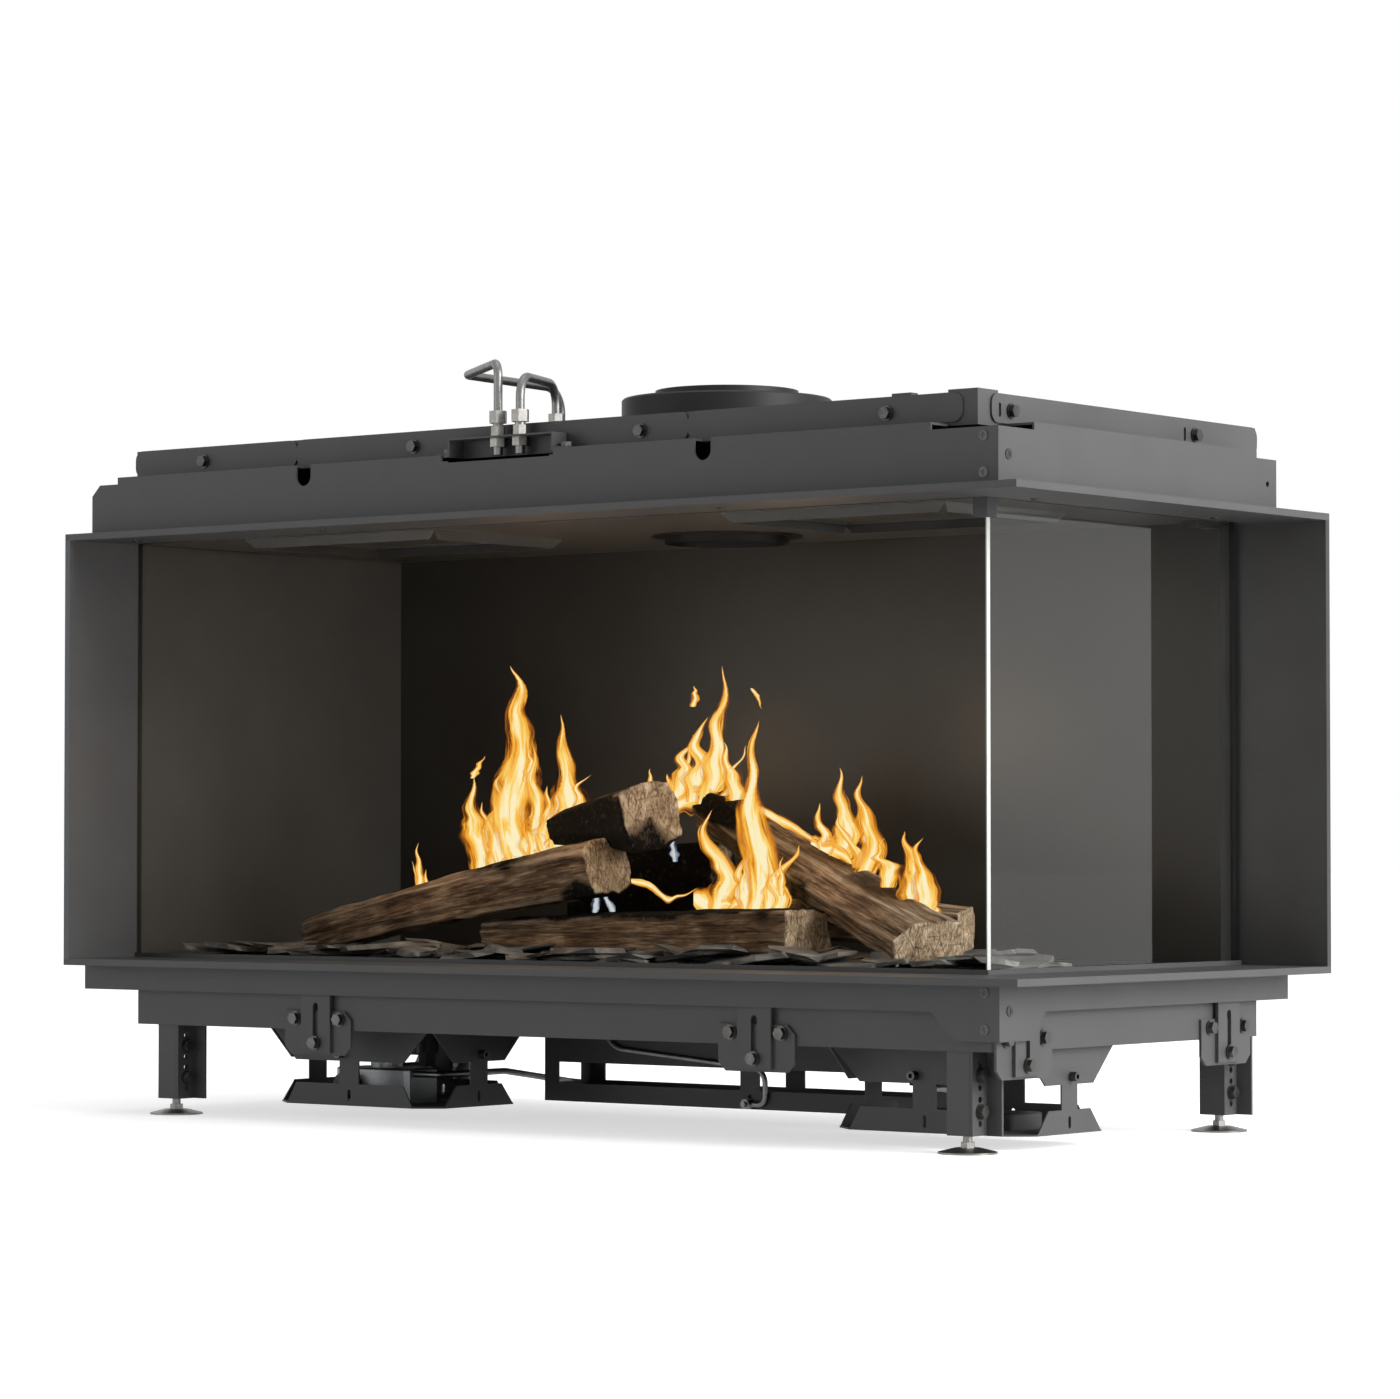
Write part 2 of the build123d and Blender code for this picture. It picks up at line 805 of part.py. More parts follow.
# Flue: inner pipe that ends in a spigot under the ceiling, with a restrictor bar across it
inner_bore = inner_flue_radius - inner_flue_sheet
flue_top = z_box + collar_height + inner_flue_rise
with BuildPart() as flue_inner:
    ring = facing_down(z_ceiling, flue_x, flue_y)
    rod(ring, spigot_flange_radius, hatch_sheet)
    rod(ring, spigot_radius, spigot_drop)
    rod(ring.offset(-ceiling_sheet), spigot_radius, ceiling_sheet)
    pipe = facing_up(ceiling_top, flue_x, flue_y)
    rod(pipe, inner_flue_radius, flue_top - ceiling_top)
    rod(pipe.offset(hatch_sheet), inner_bore, flue_top - ceiling_top, Mode.SUBTRACT)
    bore_length = 2 * ceiling_sheet + spigot_drop + 2 * overrun
    rod(ring.offset(-ceiling_sheet - overrun), spigot_radius - hatch_sheet, bore_length, Mode.SUBTRACT)
    with BuildSketch(facing_up(ceiling_top, flue_x, flue_y)) as bar:
        Circle(spigot_radius)
        Rectangle(2 * spigot_radius, restrictor_width, mode=Mode.INTERSECT)
    extrude(bar.sketch, amount=hatch_sheet)
save(flue_inner, "flue_inner")

# Outer flue collar with a rolled-in rim
with BuildPart() as flue_collar:
    with BuildSketch(facing_front(flue_y, flue_x)):
        with BuildLine():
            Polyline(
                (collar_radius - collar_sheet, z_box),
                (collar_radius, z_box),
                (collar_radius, z_box + collar_height - collar_bead),
                (collar_radius - collar_bead, z_box + collar_height),
                (collar_radius - collar_sheet - collar_bead, z_box + collar_height),
                (collar_radius - collar_sheet - collar_bead, z_box + collar_height - collar_bead),
                (collar_radius - collar_sheet, z_box + collar_height - 2 * collar_bead),
                close=True,
            )
        make_face()
    revolve(axis=Axis((flue_x, flue_y, 0), (0, 0, 1)))
save(flue_collar, "flue_collar")

# Lower aprons: folded skirt with a tail that laps down over the front corner
front_tail = box_x - tail_width
front_apron_outline = [
    (x_left, z_apron),
    (front_tail, z_apron),
    (front_tail + tail_taper, z_tail),
    (box_x, z_tail),
    (box_x, z_base),
    (x_left, z_base),
]
tail_end = box_y + tail_width
side_apron_outline = [
    (box_y + apron_sheet, z_tail),
    (tail_end - tail_taper, z_tail),
    (tail_end, z_apron),
    (apron_rear, z_apron),
    (apron_rear, z_base),
    (box_y + apron_sheet, z_base),
]
lower_front_screws = [
    facing_front(box_y, box_x - csk_inset, z_base - drop) for drop in (csk_lower_high, csk_lower_low)
]
lower_side_screws = [facing_right(box_x, box_y + csk_inset, z_base - csk_lower_side)]
with BuildPart() as lower_front_apron:
    plate(facing_front(box_y), front_apron_outline, apron_sheet)
    for place in lower_front_screws:
        drill(place, csk_shank + screw_clearance, apron_sheet)
save(lower_front_apron, "lower_front_apron")

with BuildPart() as lower_skirt:
    plate(facing_right(box_x), side_apron_outline, apron_sheet)
    block(x_left, x_left + apron_sheet, hanger_y, apron_rear, z_apron, z_base)
    block(x_left, hanger_x, apron_rear - apron_sheet, apron_rear, z_apron, z_base)
    for place in lower_side_screws:
        drill(place, csk_shank + screw_clearance, apron_sheet)
save(lower_skirt, "lower_skirt")

# Hangers: slotted plates fixed behind the apron
slot_length = hanger_slot_high - hanger_slot_low
slot_middle = (hanger_slot_high + hanger_slot_low) / 2
hanger_fronts = (x_left + hanger_left_inset, x_right - hanger_right_inset)
hanger_sides = (box_y + hanger_front_inset, y_back - hanger_rear_inset)


def hanger(plane):
    """Slotted plate whose face is on the plane and whose middle is the plane's origin."""
    low = hanger_bottom
    high = z_base - hanger_top_gap
    half = hanger_width / 2
    with BuildSketch(plane) as face:
        with BuildLine():
            Polyline((-half, low), (half, low), (half, high), (-half, high), close=True)
        make_face()
        with Locations((0, slot_middle)):
            SlotOverall(slot_length + hanger_slot_width, hanger_slot_width, rotation=90, mode=Mode.SUBTRACT)
    extrude(face.sketch, amount=-hanger_sheet)
    with BuildSketch(plane) as packing:
        with Locations((0, high - hanger_packing_height / 2)):
            Rectangle(hanger_width, hanger_packing_height)
    extrude(packing.sketch, amount=hanger_packing)


with BuildPart() as slot_hangers:
    for x in hanger_fronts:
        hanger(facing_front(hang_y, x))
    for y in hanger_sides:
        hanger(facing_right(hang_x, y))
save(slot_hangers, "slot_hangers")


def clamp_plate(plane):
    """Wide plate behind a hanger, with chamfered corners and three screw holes."""
    half = clamp_plate_width / 2
    cut = clamp_plate_chamfer
    with BuildSketch(plane) as face:
        with BuildLine():
            Polyline(
                (-half, clamp_plate_bottom + cut),
                (-half + cut, clamp_plate_bottom),
                (half - cut, clamp_plate_bottom),
                (half, clamp_plate_bottom + cut),
                (half, clamp_plate_top - cut),
                (half - cut, clamp_plate_top),
                (-half, clamp_plate_top),
                close=True,
            )
        make_face()
        with Locations(
            (-clamp_bolt_spread / 2, clamp_bolt_height),
            (clamp_bolt_spread / 2, clamp_bolt_height),
            (0, hanger_bolt_height),
        ):
            Circle(screw_radius + screw_clearance, mode=Mode.SUBTRACT)
    extrude(face.sketch, amount=-clamp_plate_sheet)


with BuildPart() as clamp_plates:
    for x in hanger_fronts:
        clamp_plate(facing_front(clamp_y, x))
    for y in hanger_sides:
        clamp_plate(facing_right(clamp_x, y))
save(clamp_plates, "clamp_plates")

# Where the screws of the clamp plates sit: two at the sides of each, one through the hanger's slot
side_grip = clamp_plate_sheet + rail_sheet
slot_grip = hanger_sheet + lap_gap + clamp_plate_sheet
rail_screw_planes = []
for spread in (-clamp_bolt_spread / 2, clamp_bolt_spread / 2):
    for x in hanger_fronts:
        rail_screw_planes.append(facing_front(clamp_y, x + spread, clamp_bolt_height))
    for y in hanger_sides:
        rail_screw_planes.append(facing_right(clamp_x, y + spread, clamp_bolt_height))
head_gap = lap_gap
slot_screw_planes = [facing_front(hang_y - head_gap, x, hanger_bolt_height) for x in hanger_fronts]
slot_screw_planes += [facing_right(hang_x + head_gap, y, hanger_bolt_height) for y in hanger_sides]

# Plinth frame: four rails, the right one folded round the front corner
front_rail_end = frame_x - rail_corner_return
with BuildPart() as front_rail:
    block(frame_left, front_rail_end, frame_y, frame_y + rail_sheet, rail_bottom, rail_top)
    block(frame_left, front_rail_end, frame_y, frame_y + rail_lip, rail_top - rail_sheet, rail_top)
    for place in rail_screw_planes[0:2] + rail_screw_planes[4:6]:
        drill(place, screw_radius + screw_clearance, side_grip)
save(front_rail, "front_rail")

with BuildPart() as right_rail:
    with BuildSketch(Plane.XY.offset(rail_bottom)):
        with BuildLine():
            Polyline(
                (front_rail_end, frame_y),
                (frame_x, frame_y),
                (frame_x, frame_rear),
                (frame_x - rail_sheet, frame_rear),
                (frame_x - rail_sheet, frame_y + rail_sheet),
                (front_rail_end, frame_y + rail_sheet),
                close=True,
            )
        make_face()
    extrude(amount=rail_top - rail_bottom)
    upright = right_rail.edges().filter_by(Axis.Z)
    fillet(upright.sort_by_distance((frame_x, frame_y, rail_bottom))[0], rail_corner_radius)
    block(
        frame_x - rail_lip,
        frame_x - rail_sheet,
        frame_y + rail_corner_radius,
        frame_rear,
        rail_top - rail_sheet,
        rail_top,
    )
    for place in rail_screw_planes[2:4] + rail_screw_planes[6:8]:
        drill(place, screw_radius + screw_clearance, side_grip)
save(right_rail, "right_rail")

with BuildPart() as rear_rails:
    block(frame_left, frame_x - rail_lip, frame_rear - rail_sheet, frame_rear, rail_bottom, rail_top)
    block(
        frame_left,
        frame_left + rail_sheet,
        frame_y + rail_lip,
        frame_rear - rail_sheet,
        rail_bottom,
        rail_top,
    )
save(rear_rails, "rear_rails")

# Where the legs stand: outer face of the web and front of the web, for each corner
leg_right_front = frame_x - leg_front_right_inset
leg_right_rear = frame_x - leg_rear_right_inset
leg_left = frame_left + leg_left_inset
leg_front = frame_y + leg_front_inset
leg_rear = frame_rear - leg_rear_inset
legs = (
    ("front_left", leg_left, leg_front),
    ("front_right", leg_right_front, leg_front),
    ("rear_left", leg_left, leg_rear),
    ("rear_right", leg_right_rear, leg_rear),
)
gusset_top = rail_top - rail_sheet
gusset_bottom = gusset_top - gusset_sheet

# Leg angles: web with a row of holes and a rear leaf, welded to a gusset at the frame's corner
hole_heights = [leg_first_hole + index * leg_hole_pitch for index in range(leg_hole_count)]
bolt_heights = [hole_heights[leg_bolt_low_hole], hole_heights[leg_bolt_high_hole]]
with BuildPart() as leg_angles:
    for name, x, y in legs:
        outer_x = frame_left + rail_sheet if x < 0 else frame_x - rail_sheet
        outer_y = frame_y + rail_sheet if y < 0 else frame_rear - rail_sheet
        inner_gx = outer_x + gusset_size + leg_left_inset if x < 0 else outer_x - gusset_size
        inner_gy = outer_y + gusset_size if y < 0 else outer_y - gusset_size
        block(
            min(outer_x, inner_gx),
            max(outer_x, inner_gx),
            min(outer_y, inner_gy),
            max(outer_y, inner_gy),
            gusset_bottom,
            gusset_top,
        )
        block(x - leg_sheet, x, y, y + leg_web, leg_bottom, gusset_bottom)
        block(x, x + leg_leaf, y + leg_web - leg_sheet, y + leg_web, leg_bottom, gusset_bottom)
        for height in hole_heights:
            radius = screw_radius + screw_clearance if height in bolt_heights else leg_hole_radius
            drill(facing_right(x, y + leg_hole_back, height), radius, leg_sheet)
save(leg_angles, "leg_angles")

# Screws of the plinth frame: clamp plates, hanger slots, and the legs with nuts behind the sliding web
leg_grip = leg_sheet + lap_gap + leg_sheet + lap_gap
with BuildPart() as frame_screws:
    for place in rail_screw_planes:
        flange_screw(place, side_grip)
    for place in slot_screw_planes:
        flange_screw(place, slot_grip + head_gap)
    for name, x, y in legs:
        for height in bolt_heights:
            place = facing_right(x, y + leg_hole_back, height)
            flange_screw(place, leg_grip + nut_height)
            hexagon(place.offset(-leg_grip - nut_height), hex_across, nut_height)
save(frame_screws, "frame_screws")

# Leg channels: front leaf, slotted web inside the angle and foot plate
slide_top = gusset_bottom - lap_gap
web_face_gap = leg_sheet + lap_gap
slot_clear = screw_radius + foot_clearance
for name, x, y in legs:
    web_x1 = x - web_face_gap
    web_x0 = web_x1 - leg_sheet
    foot_x = x - foot_from_web
    foot_y = y + foot_from_front
    hole_y = y + leg_hole_back
    with BuildPart() as leg_channel:
        block(x - leg_flange, web_x1, y, y + leg_sheet, leg_bottom, slide_top)
        block(web_x0, web_x1, y + leg_sheet, y + leg_web, leg_bottom, slide_top)
        block(x - leg_flange, web_x0, y + leg_sheet, y + leg_web, leg_bottom, leg_bottom + leg_sheet)
        block(
            web_x0 - overrun,
            web_x1 + overrun,
            hole_y - slot_clear,
            hole_y + slot_clear,
            bolt_heights[0] - slot_clear,
            bolt_heights[1] + leg_travel + slot_clear,
            Mode.SUBTRACT,
        )
        drill(facing_up(leg_bottom + leg_sheet, foot_x, foot_y), foot_stud_radius + foot_clearance, leg_sheet)
    save(leg_channel, f"leg_{name}")

# Levelling feet: domed pad, hexagon and stud
for name, x, y in legs:
    foot_x = x - foot_from_web
    foot_y = y + foot_from_front
    with BuildPart() as foot:
        with BuildSketch(facing_front(foot_y, foot_x)):
            with BuildLine():
                Line((0, 0), (foot_pad_radius, 0))
                Line((foot_pad_radius, 0), (foot_pad_radius, foot_pad_rim))
                Spline(
                    (foot_pad_radius, foot_pad_rim),
                    ((foot_pad_radius + foot_dome_radius) / 2, (foot_pad_rim + foot_pad_dome) / 2),
                    (foot_dome_radius, foot_pad_dome),
                )
                Line((foot_dome_radius, foot_pad_dome), (0, foot_pad_dome))
                Line((0, foot_pad_dome), (0, 0))
            make_face()
        revolve(axis=Axis((foot_x, foot_y, 0), (0, 0, 1)))
        hexagon(facing_up(foot_pad_dome, foot_x, foot_y), foot_hex, foot_hex_height)
        rod(facing_up(foot_pad_dome, foot_x, foot_y), foot_stud_radius, foot_stud_height)
    save(foot, f"foot_{name}")

# Upper fascia: front sheet with step, chamfer, notches and pipe cut-out, folded back to a ledge
step_x = fascia_left + fascia_step
slit_x = box_x - fascia_slit_inset
front_fascia_outline = [
    (fascia_left, z_top),
    (box_x, z_top),
    (box_x, z_box_low),
    (slit_x, z_box_low),
    (slit_x, z_box),
    (step_x, z_box),
    (step_x, z_box_low),
    (fascia_left + fascia_chamfer, z_box_low),
    (fascia_left, z_box_low - fascia_chamfer),
]
upper_front_screws = [
    facing_front(box_y, box_x - csk_inset, z_top + rise) for rise in (csk_upper_low, csk_upper_high)
]
upper_side_screws = [facing_right(box_x, box_y + csk_inset, z_top + csk_upper_side)]
bracket_right_x = bracket_left_x + bracket_width
pipe_cut_left = bracket_left_x - pipe_cut_left_gap
pipe_cut_right = bracket_right_x + pipe_cut_right_gap
with BuildPart() as upper_front_fascia:
    plate(facing_front(box_y), front_fascia_outline, fascia_sheet)
    block(step_x, slit_x, box_y + fascia_sheet, rim_y, z_box - fascia_sheet, z_box)
    for x in (notch_left_x, notch_right_x):
        notch_floor = z_box - notch_depth + notch_radius
        with BuildSketch(facing_front(box_y, x, notch_floor)) as notch:
            Circle(notch_radius)
            with Locations((0, notch_depth / 2)):
                Rectangle(2 * notch_radius, notch_depth)
        extrude(notch.sketch, amount=-rim_front_setback / 2, mode=Mode.SUBTRACT)
        extrude(notch.sketch, amount=overrun, mode=Mode.SUBTRACT)
    block(
        pipe_cut_left,
        pipe_cut_right,
        box_y - overrun,
        box_y + fascia_sheet,
        z_box - pipe_cut_depth,
        z_box + overrun,
        Mode.SUBTRACT,
    )
    block(
        bracket_left_x + bracket_sheet,
        bracket_right_x - bracket_sheet,
        box_y + fascia_sheet - overrun / 2,
        rim_y - bracket_sheet - bracket_sheet,
        z_box - fascia_sheet - overrun,
        z_box + overrun,
        Mode.SUBTRACT,
    )
    for place in upper_front_screws:
        drill(place, csk_shank + screw_clearance, fascia_sheet)
save(upper_front_fascia, "upper_front_fascia")

side_slit_y = box_y + fascia_side_slit
side_step_y = fascia_rear - fascia_side_step
side_fascia_outline = [
    (box_y + fascia_sheet, z_top),
    (fascia_rear, z_top),
    (fascia_rear, z_box_low),
    (side_step_y, z_box_low),
    (side_step_y, z_box),
    (side_slit_y, z_box),
    (side_slit_y, z_box_low),
    (box_y + fascia_sheet, z_box_low),
]
with BuildPart() as upper_skirt:
    plate(facing_right(box_x), side_fascia_outline, fascia_sheet)
    block(rim_x, box_x - fascia_sheet, side_slit_y, side_step_y, z_box - fascia_sheet, z_box)
    drill(
        facing_right(box_x, fascia_rear - fascia_hole_inset, z_top + fascia_hole_height),
        fascia_hole_radius,
        fascia_sheet,
    )
    for place in upper_side_screws:
        drill(place, csk_shank + screw_clearance, fascia_sheet)
    block(
        fascia_left,
        fascia_left + fascia_sheet,
        guide_y1 + fit_gap,
        fascia_rear,
        ceiling_top,
        z_box_low,
    )
    block(
        fascia_left,
        roof_left + fascia_sheet,
        guide_y1 + fit_gap,
        fascia_rear,
        z_box_low - fascia_sheet,
        z_box_low,
    )
    block(
        roof_left,
        roof_left + fascia_sheet,
        guide_y1 + fit_gap,
        fascia_rear,
        z_box_low,
        z_box - rim_sheet,
    )
    block(
        fascia_left,
        guide_x0 - fit_gap,
        fascia_rear - fascia_sheet,
        fascia_rear,
        ceiling_top,
        z_box_low,
    )
    block(
        roof_left,
        guide_x0 - fit_gap,
        fascia_rear - fascia_sheet,
        fascia_rear,
        z_box_low,
        z_box - rim_sheet,
    )
    block(
        guide_x1 + fit_gap,
        box_x - fascia_sheet,
        fascia_rear - fascia_sheet,
        fascia_rear,
        z_top,
        z_box_low,
    )
save(upper_skirt, "upper_skirt")

# Where the test fittings stand and where their tubes go
bracket_y0 = box_y + fascia_sheet + bracket_front_gap
bracket_y1 = bracket_y0 + bracket_depth
bracket_top = z_box + bracket_height
fitting_y = (bracket_y0 + bracket_y1) / 2
fitting_xs = [bracket_left_x + fitting_first + index * fitting_pitch for index in range(2)]
long_tube_back_x = fitting_xs[0] - long_tube_side
long_tube_back_y = fitting_y + long_tube_back
long_tube_end_x = fitting_xs[0] - long_tube_end_side
long_tube_end_y = fitting_y + long_tube_end_back
short_tube_end_x = fitting_xs[1] - short_tube_side
short_tube_end_y = fitting_y + short_tube_back

# Roof: shallow upturned tray with the flue hole
rim_screw_pitch = (roof_x - roof_left - 2 * rim_screw_end) / (rim_screw_count - 1)
rim_screw_xs = [roof_left + rim_screw_end + index * rim_screw_pitch for index in range(rim_screw_count)]
side_screw_ys = [roof_y + side_screw_first, roof_rear - side_screw_last]
z_rim_screw = z_box + rim_screw_height
rim_screw_planes = [facing_front(rim_y, x, z_rim_screw) for x in rim_screw_xs]
rim_screw_planes += [facing_right(rim_x, y, z_rim_screw) for y in side_screw_ys]
rim_grip = rim_strip_sheet + rim_sheet
roof_bottom = z_box - rim_sheet
with BuildPart() as roof_plate:
    block(roof_left, roof_x, roof_y, roof_rear, roof_bottom, z_rim)
    block(
        roof_left + rim_sheet,
        roof_x - rim_sheet,
        roof_y + rim_sheet,
        roof_rear - rim_sheet,
        z_box,
        z_rim + overrun,
        Mode.SUBTRACT,
    )
    drill(facing_up(z_box, flue_x, flue_y), collar_radius - collar_sheet, rim_sheet)
    drill(facing_up(z_box, long_tube_end_x, long_tube_end_y), tube_radius + fit_gap, rim_sheet)
    for place in rim_screw_planes:
        drill(place, screw_radius + screw_clearance, rim_grip)
save(roof_plate, "roof_plate")


def strip(plane, start, end, low, high, holes, slots):
    """Rim strip between two places along the plane, with one rounded top corner at each free end."""
    with BuildSketch(plane) as face:
        with BuildLine():
            Polyline((start, low), (end, low), (end, high), (start, high), close=True)
        make_face()
        rounded = face.vertices().group_by(Axis.Z)[-1]
        fillet(rounded, rim_round)
        for place in holes:
            with Locations((place, z_rim_screw)):
                Circle(screw_radius + screw_clearance, mode=Mode.SUBTRACT)
        for place in slots:
            with Locations((place, z_rim_screw)):
                SlotOverall(side_slot_height, side_slot_width, rotation=90, mode=Mode.SUBTRACT)
    extrude(face.sketch, amount=-rim_strip_sheet)


# Rim strips round the roof, with a small tab over the corner and one on the front
joint_left = roof_left + strip_joint_left_share * (roof_x - roof_left)
joint_middle = roof_left + strip_joint_middle_share * (roof_x - roof_left)
strip_end = roof_x - strip_right_gap
front_runs = ((roof_left, joint_left), (joint_left, joint_middle), (joint_middle, strip_end))
tab_right = roof_x - front_tab_inset
slot_ys = [y - side_slot_offset for y in side_screw_ys]
with BuildPart() as rim_strips:
    for start, end in front_runs:
        inside = [x for x in rim_screw_xs if start < x < end]
        strip(facing_front(rim_y), start, end, z_strip, z_rim, inside, [])
    strip(facing_right(rim_x), roof_y + strip_side_gap, roof_rear, z_strip, z_rim, side_screw_ys, slot_ys)
    block(roof_x - corner_tab, roof_x, roof_y, roof_y + corner_tab, z_rim, z_rim + tab_sheet)
    block(tab_right - front_tab_width, tab_right, roof_y, roof_y + front_tab_depth, z_rim, z_rim + tab_sheet)
save(rim_strips, "rim_strips")

# Pressure test bracket: folded hat on the ledge, open at the front
foot_places = [
    facing_up(z_box + bracket_sheet, bracket_left_x - bracket_foot / 2, fitting_y),
    facing_up(z_box + bracket_sheet, bracket_right_x + bracket_foot / 2, fitting_y),
]
with BuildPart() as test_bracket:
    block(bracket_left_x, bracket_right_x, bracket_y0, bracket_y1, z_box, bracket_top)
    uprights = test_bracket.edges().filter_by(Axis.Z).group_by(Axis.Y)[-1]
    fillet(uprights, 2 * bracket_sheet)
    block(
        bracket_left_x + bracket_sheet,
        bracket_right_x - bracket_sheet,
        bracket_y0 - overrun,
        bracket_y1 - bracket_sheet,
        z_box - overrun,
        bracket_top - bracket_sheet,
        Mode.SUBTRACT,
    )
    for x0, x1 in (
        (bracket_left_x - bracket_foot, bracket_left_x),
        (bracket_right_x, bracket_right_x + bracket_foot),
    ):
        block(x0, x1, bracket_y0, bracket_y1 - 2 * bracket_sheet, z_box, z_box + bracket_sheet)
    for place in foot_places:
        drill(place, csk_shank + screw_clearance, bracket_sheet)
    for x in fitting_xs:
        drill(facing_up(bracket_top, x, fitting_y), test_spigot_radius + screw_clearance, bracket_sheet)
save(test_bracket, "test_bracket")

# Compression fittings through the bracket
nut_top = bracket_top + fitting_body_height + fitting_neck_height + fitting_nut_height
with BuildPart() as test_fittings:
    for x in fitting_xs:
        under = facing_up(bracket_top - bracket_sheet - lock_nut_height, x, fitting_y)
        hexagon(under, lock_nut_across, lock_nut_height)
        rod(under, test_spigot_radius, -test_spigot_height)
        rod(under, test_spigot_radius, lock_nut_height + bracket_sheet)
        over = facing_up(bracket_top, x, fitting_y)
        hexagon(over, fitting_body_across, fitting_body_height)
        rod(over.offset(fitting_body_height), fitting_neck_radius, fitting_neck_height)
        nut_plane = over.offset(fitting_body_height + fitting_neck_height)
        hexagon(nut_plane, fitting_nut_across, fitting_nut_height)
    hexagon(facing_up(z_box, short_tube_end_x, short_tube_end_y), roof_nut_across, roof_nut_height)
save(test_fittings, "test_fittings")

# Test tubes: the long one turns back over the roof, the short one bridges to a nut
long_top = nut_top + long_tube_rise
short_top = nut_top + short_tube_rise
with BuildPart() as test_tubes:
    tube(
        [
            (fitting_xs[0], fitting_y, nut_top),
            (fitting_xs[0], fitting_y, long_top),
            (long_tube_back_x, long_tube_back_y, long_top),
            (long_tube_end_x, long_tube_end_y, long_top),
            (long_tube_end_x, long_tube_end_y, roof_bottom),
        ],
        [long_tube_bend, long_tube_bend, long_tube_last_bend],
        tube_radius,
    )
    tube(
        [
            (fitting_xs[1], fitting_y, nut_top),
            (fitting_xs[1], fitting_y, short_top),
            (short_tube_end_x, short_tube_end_y, short_top),
            (short_tube_end_x, short_tube_end_y, z_box + roof_nut_height),
        ],
        [short_tube_bend, short_tube_bend],
        tube_radius,
    )
save(test_tubes, "test_tubes")

# Screws of the casing: rim, lapped corners, test bracket, ceiling and the sensor block beside the pilot
ceiling_screw_places = (
    (chamber_left + ceiling_margin, slot_y - ceiling_margin),
    (notch_left_x, slot_y - ceiling_margin),
    (notch_right_x, slot_y - ceiling_margin),
    (slot_x + ceiling_margin / 2, inner_y + ceiling_margin),
    (slot_x + ceiling_margin / 2, chamber_back - 2 * ceiling_margin),
)
with BuildPart() as casing_screws:
    for place in rim_screw_planes:
        flange_screw(place, rim_grip)
    for place in lower_front_screws + lower_side_screws:
        cross_screw(place, apron_sheet)
    for place in upper_front_screws + upper_side_screws:
        cross_screw(place, fascia_sheet)
    for place in foot_places:
        hexagon(place, hex_across, hex_height)
        rod(place, csk_shank, -bracket_sheet)
    for x, y in ceiling_screw_places:
        rod(facing_down(z_ceiling, x, y), ceiling_screw_radius, ceiling_screw_height)
save(casing_screws, "casing_screws")


def cradle_wall(plane, half, corner, low_taper, reach):
    """One side of a cradle: low trapezium, neck, and high trapezium that widens to the full side."""
    low_half = half - corner
    neck = cradle_neck / 2
    outline = [
        (-low_half, cradle_floor),
        (low_half, cradle_floor),
        (low_half - low_taper, cradle_low_top),
        (neck, cradle_low_top),
        (neck, cradle_window_top),
        (half - reach, cradle_window_top),
        (half, cradle_window_top + reach),
        (half, z_floor_sheet),
        (-half, z_floor_sheet),
        (-half, cradle_window_top + reach),
        (reach - half, cradle_window_top),
        (-neck, cradle_window_top),
        (-neck, cradle_low_top),
        (low_taper - low_half, cradle_low_top),
    ]
    plate(plane, outline, cradle_sheet)
    with BuildSketch(plane.offset(overrun)) as slot:
        with Locations((0, (cradle_slot_low + cradle_slot_high) / 2)):
            SlotOverall(cradle_slot_high - cradle_slot_low, cradle_slot_width, rotation=90)
    extrude(slot.sketch, amount=-cradle_sheet - 2 * overrun, mode=Mode.SUBTRACT)


def cradle_sides(centre_x):
    """Planes on the front, back, right and left outer faces of a cradle, each looking outwards."""
    half_x = cradle_width / 2
    half_y = cradle_depth / 2
    return (
        facing_front(cradle_y - half_y, centre_x),
        Plane(origin=(centre_x, cradle_y + half_y, 0), x_dir=(-1, 0, 0), z_dir=(0, 1, 0)),
        facing_right(centre_x + half_x, cradle_y),
        Plane(origin=(centre_x - half_x, cradle_y, 0), x_dir=(0, -1, 0), z_dir=(-1, 0, 0)),
    )


# Cradles at the left and right: octagonal floor and four folded sides
cradle_runs = (
    ("left", cradle_left_x, burner_feed_left_x),
    ("right", cradle_right_x, burner_feed_right_x),
)
cradle_half_x = cradle_width / 2
cradle_half_y = cradle_depth / 2
for name, centre_x, feed_x in cradle_runs:
    cut_x = cradle_half_x - cradle_corner_x
    cut_y = cradle_half_y - cradle_corner_y
    with BuildPart() as cradle:
        with BuildSketch(facing_up(cradle_floor, centre_x, cradle_y)):
            with BuildLine():
                Polyline(
                    (-cut_x, -cradle_half_y),
                    (cut_x, -cradle_half_y),
                    (cradle_half_x, -cut_y),
                    (cradle_half_x, cut_y),
                    (cut_x, cradle_half_y),
                    (-cut_x, cradle_half_y),
                    (-cradle_half_x, cut_y),
                    (-cradle_half_x, -cut_y),
                    close=True,
                )
            make_face()
        extrude(amount=cradle_sheet)
        front, back, right, left = cradle_sides(centre_x)
        for plane in (front, back):
            cradle_wall(plane, cradle_half_x, cradle_corner_x, cradle_low_taper_x, cradle_high_reach_x)
        for plane in (right, left):
            cradle_wall(plane, cradle_half_y, cradle_corner_y, cradle_low_taper_y, cradle_high_reach_y)
        drill(
            facing_front(cradle_y + cradle_half_y - cradle_sheet, feed_x, mixing_tube_turn),
            mixing_tube_radius + fit_gap,
            cradle_sheet,
        )
    save(cradle, f"cradle_{name}")

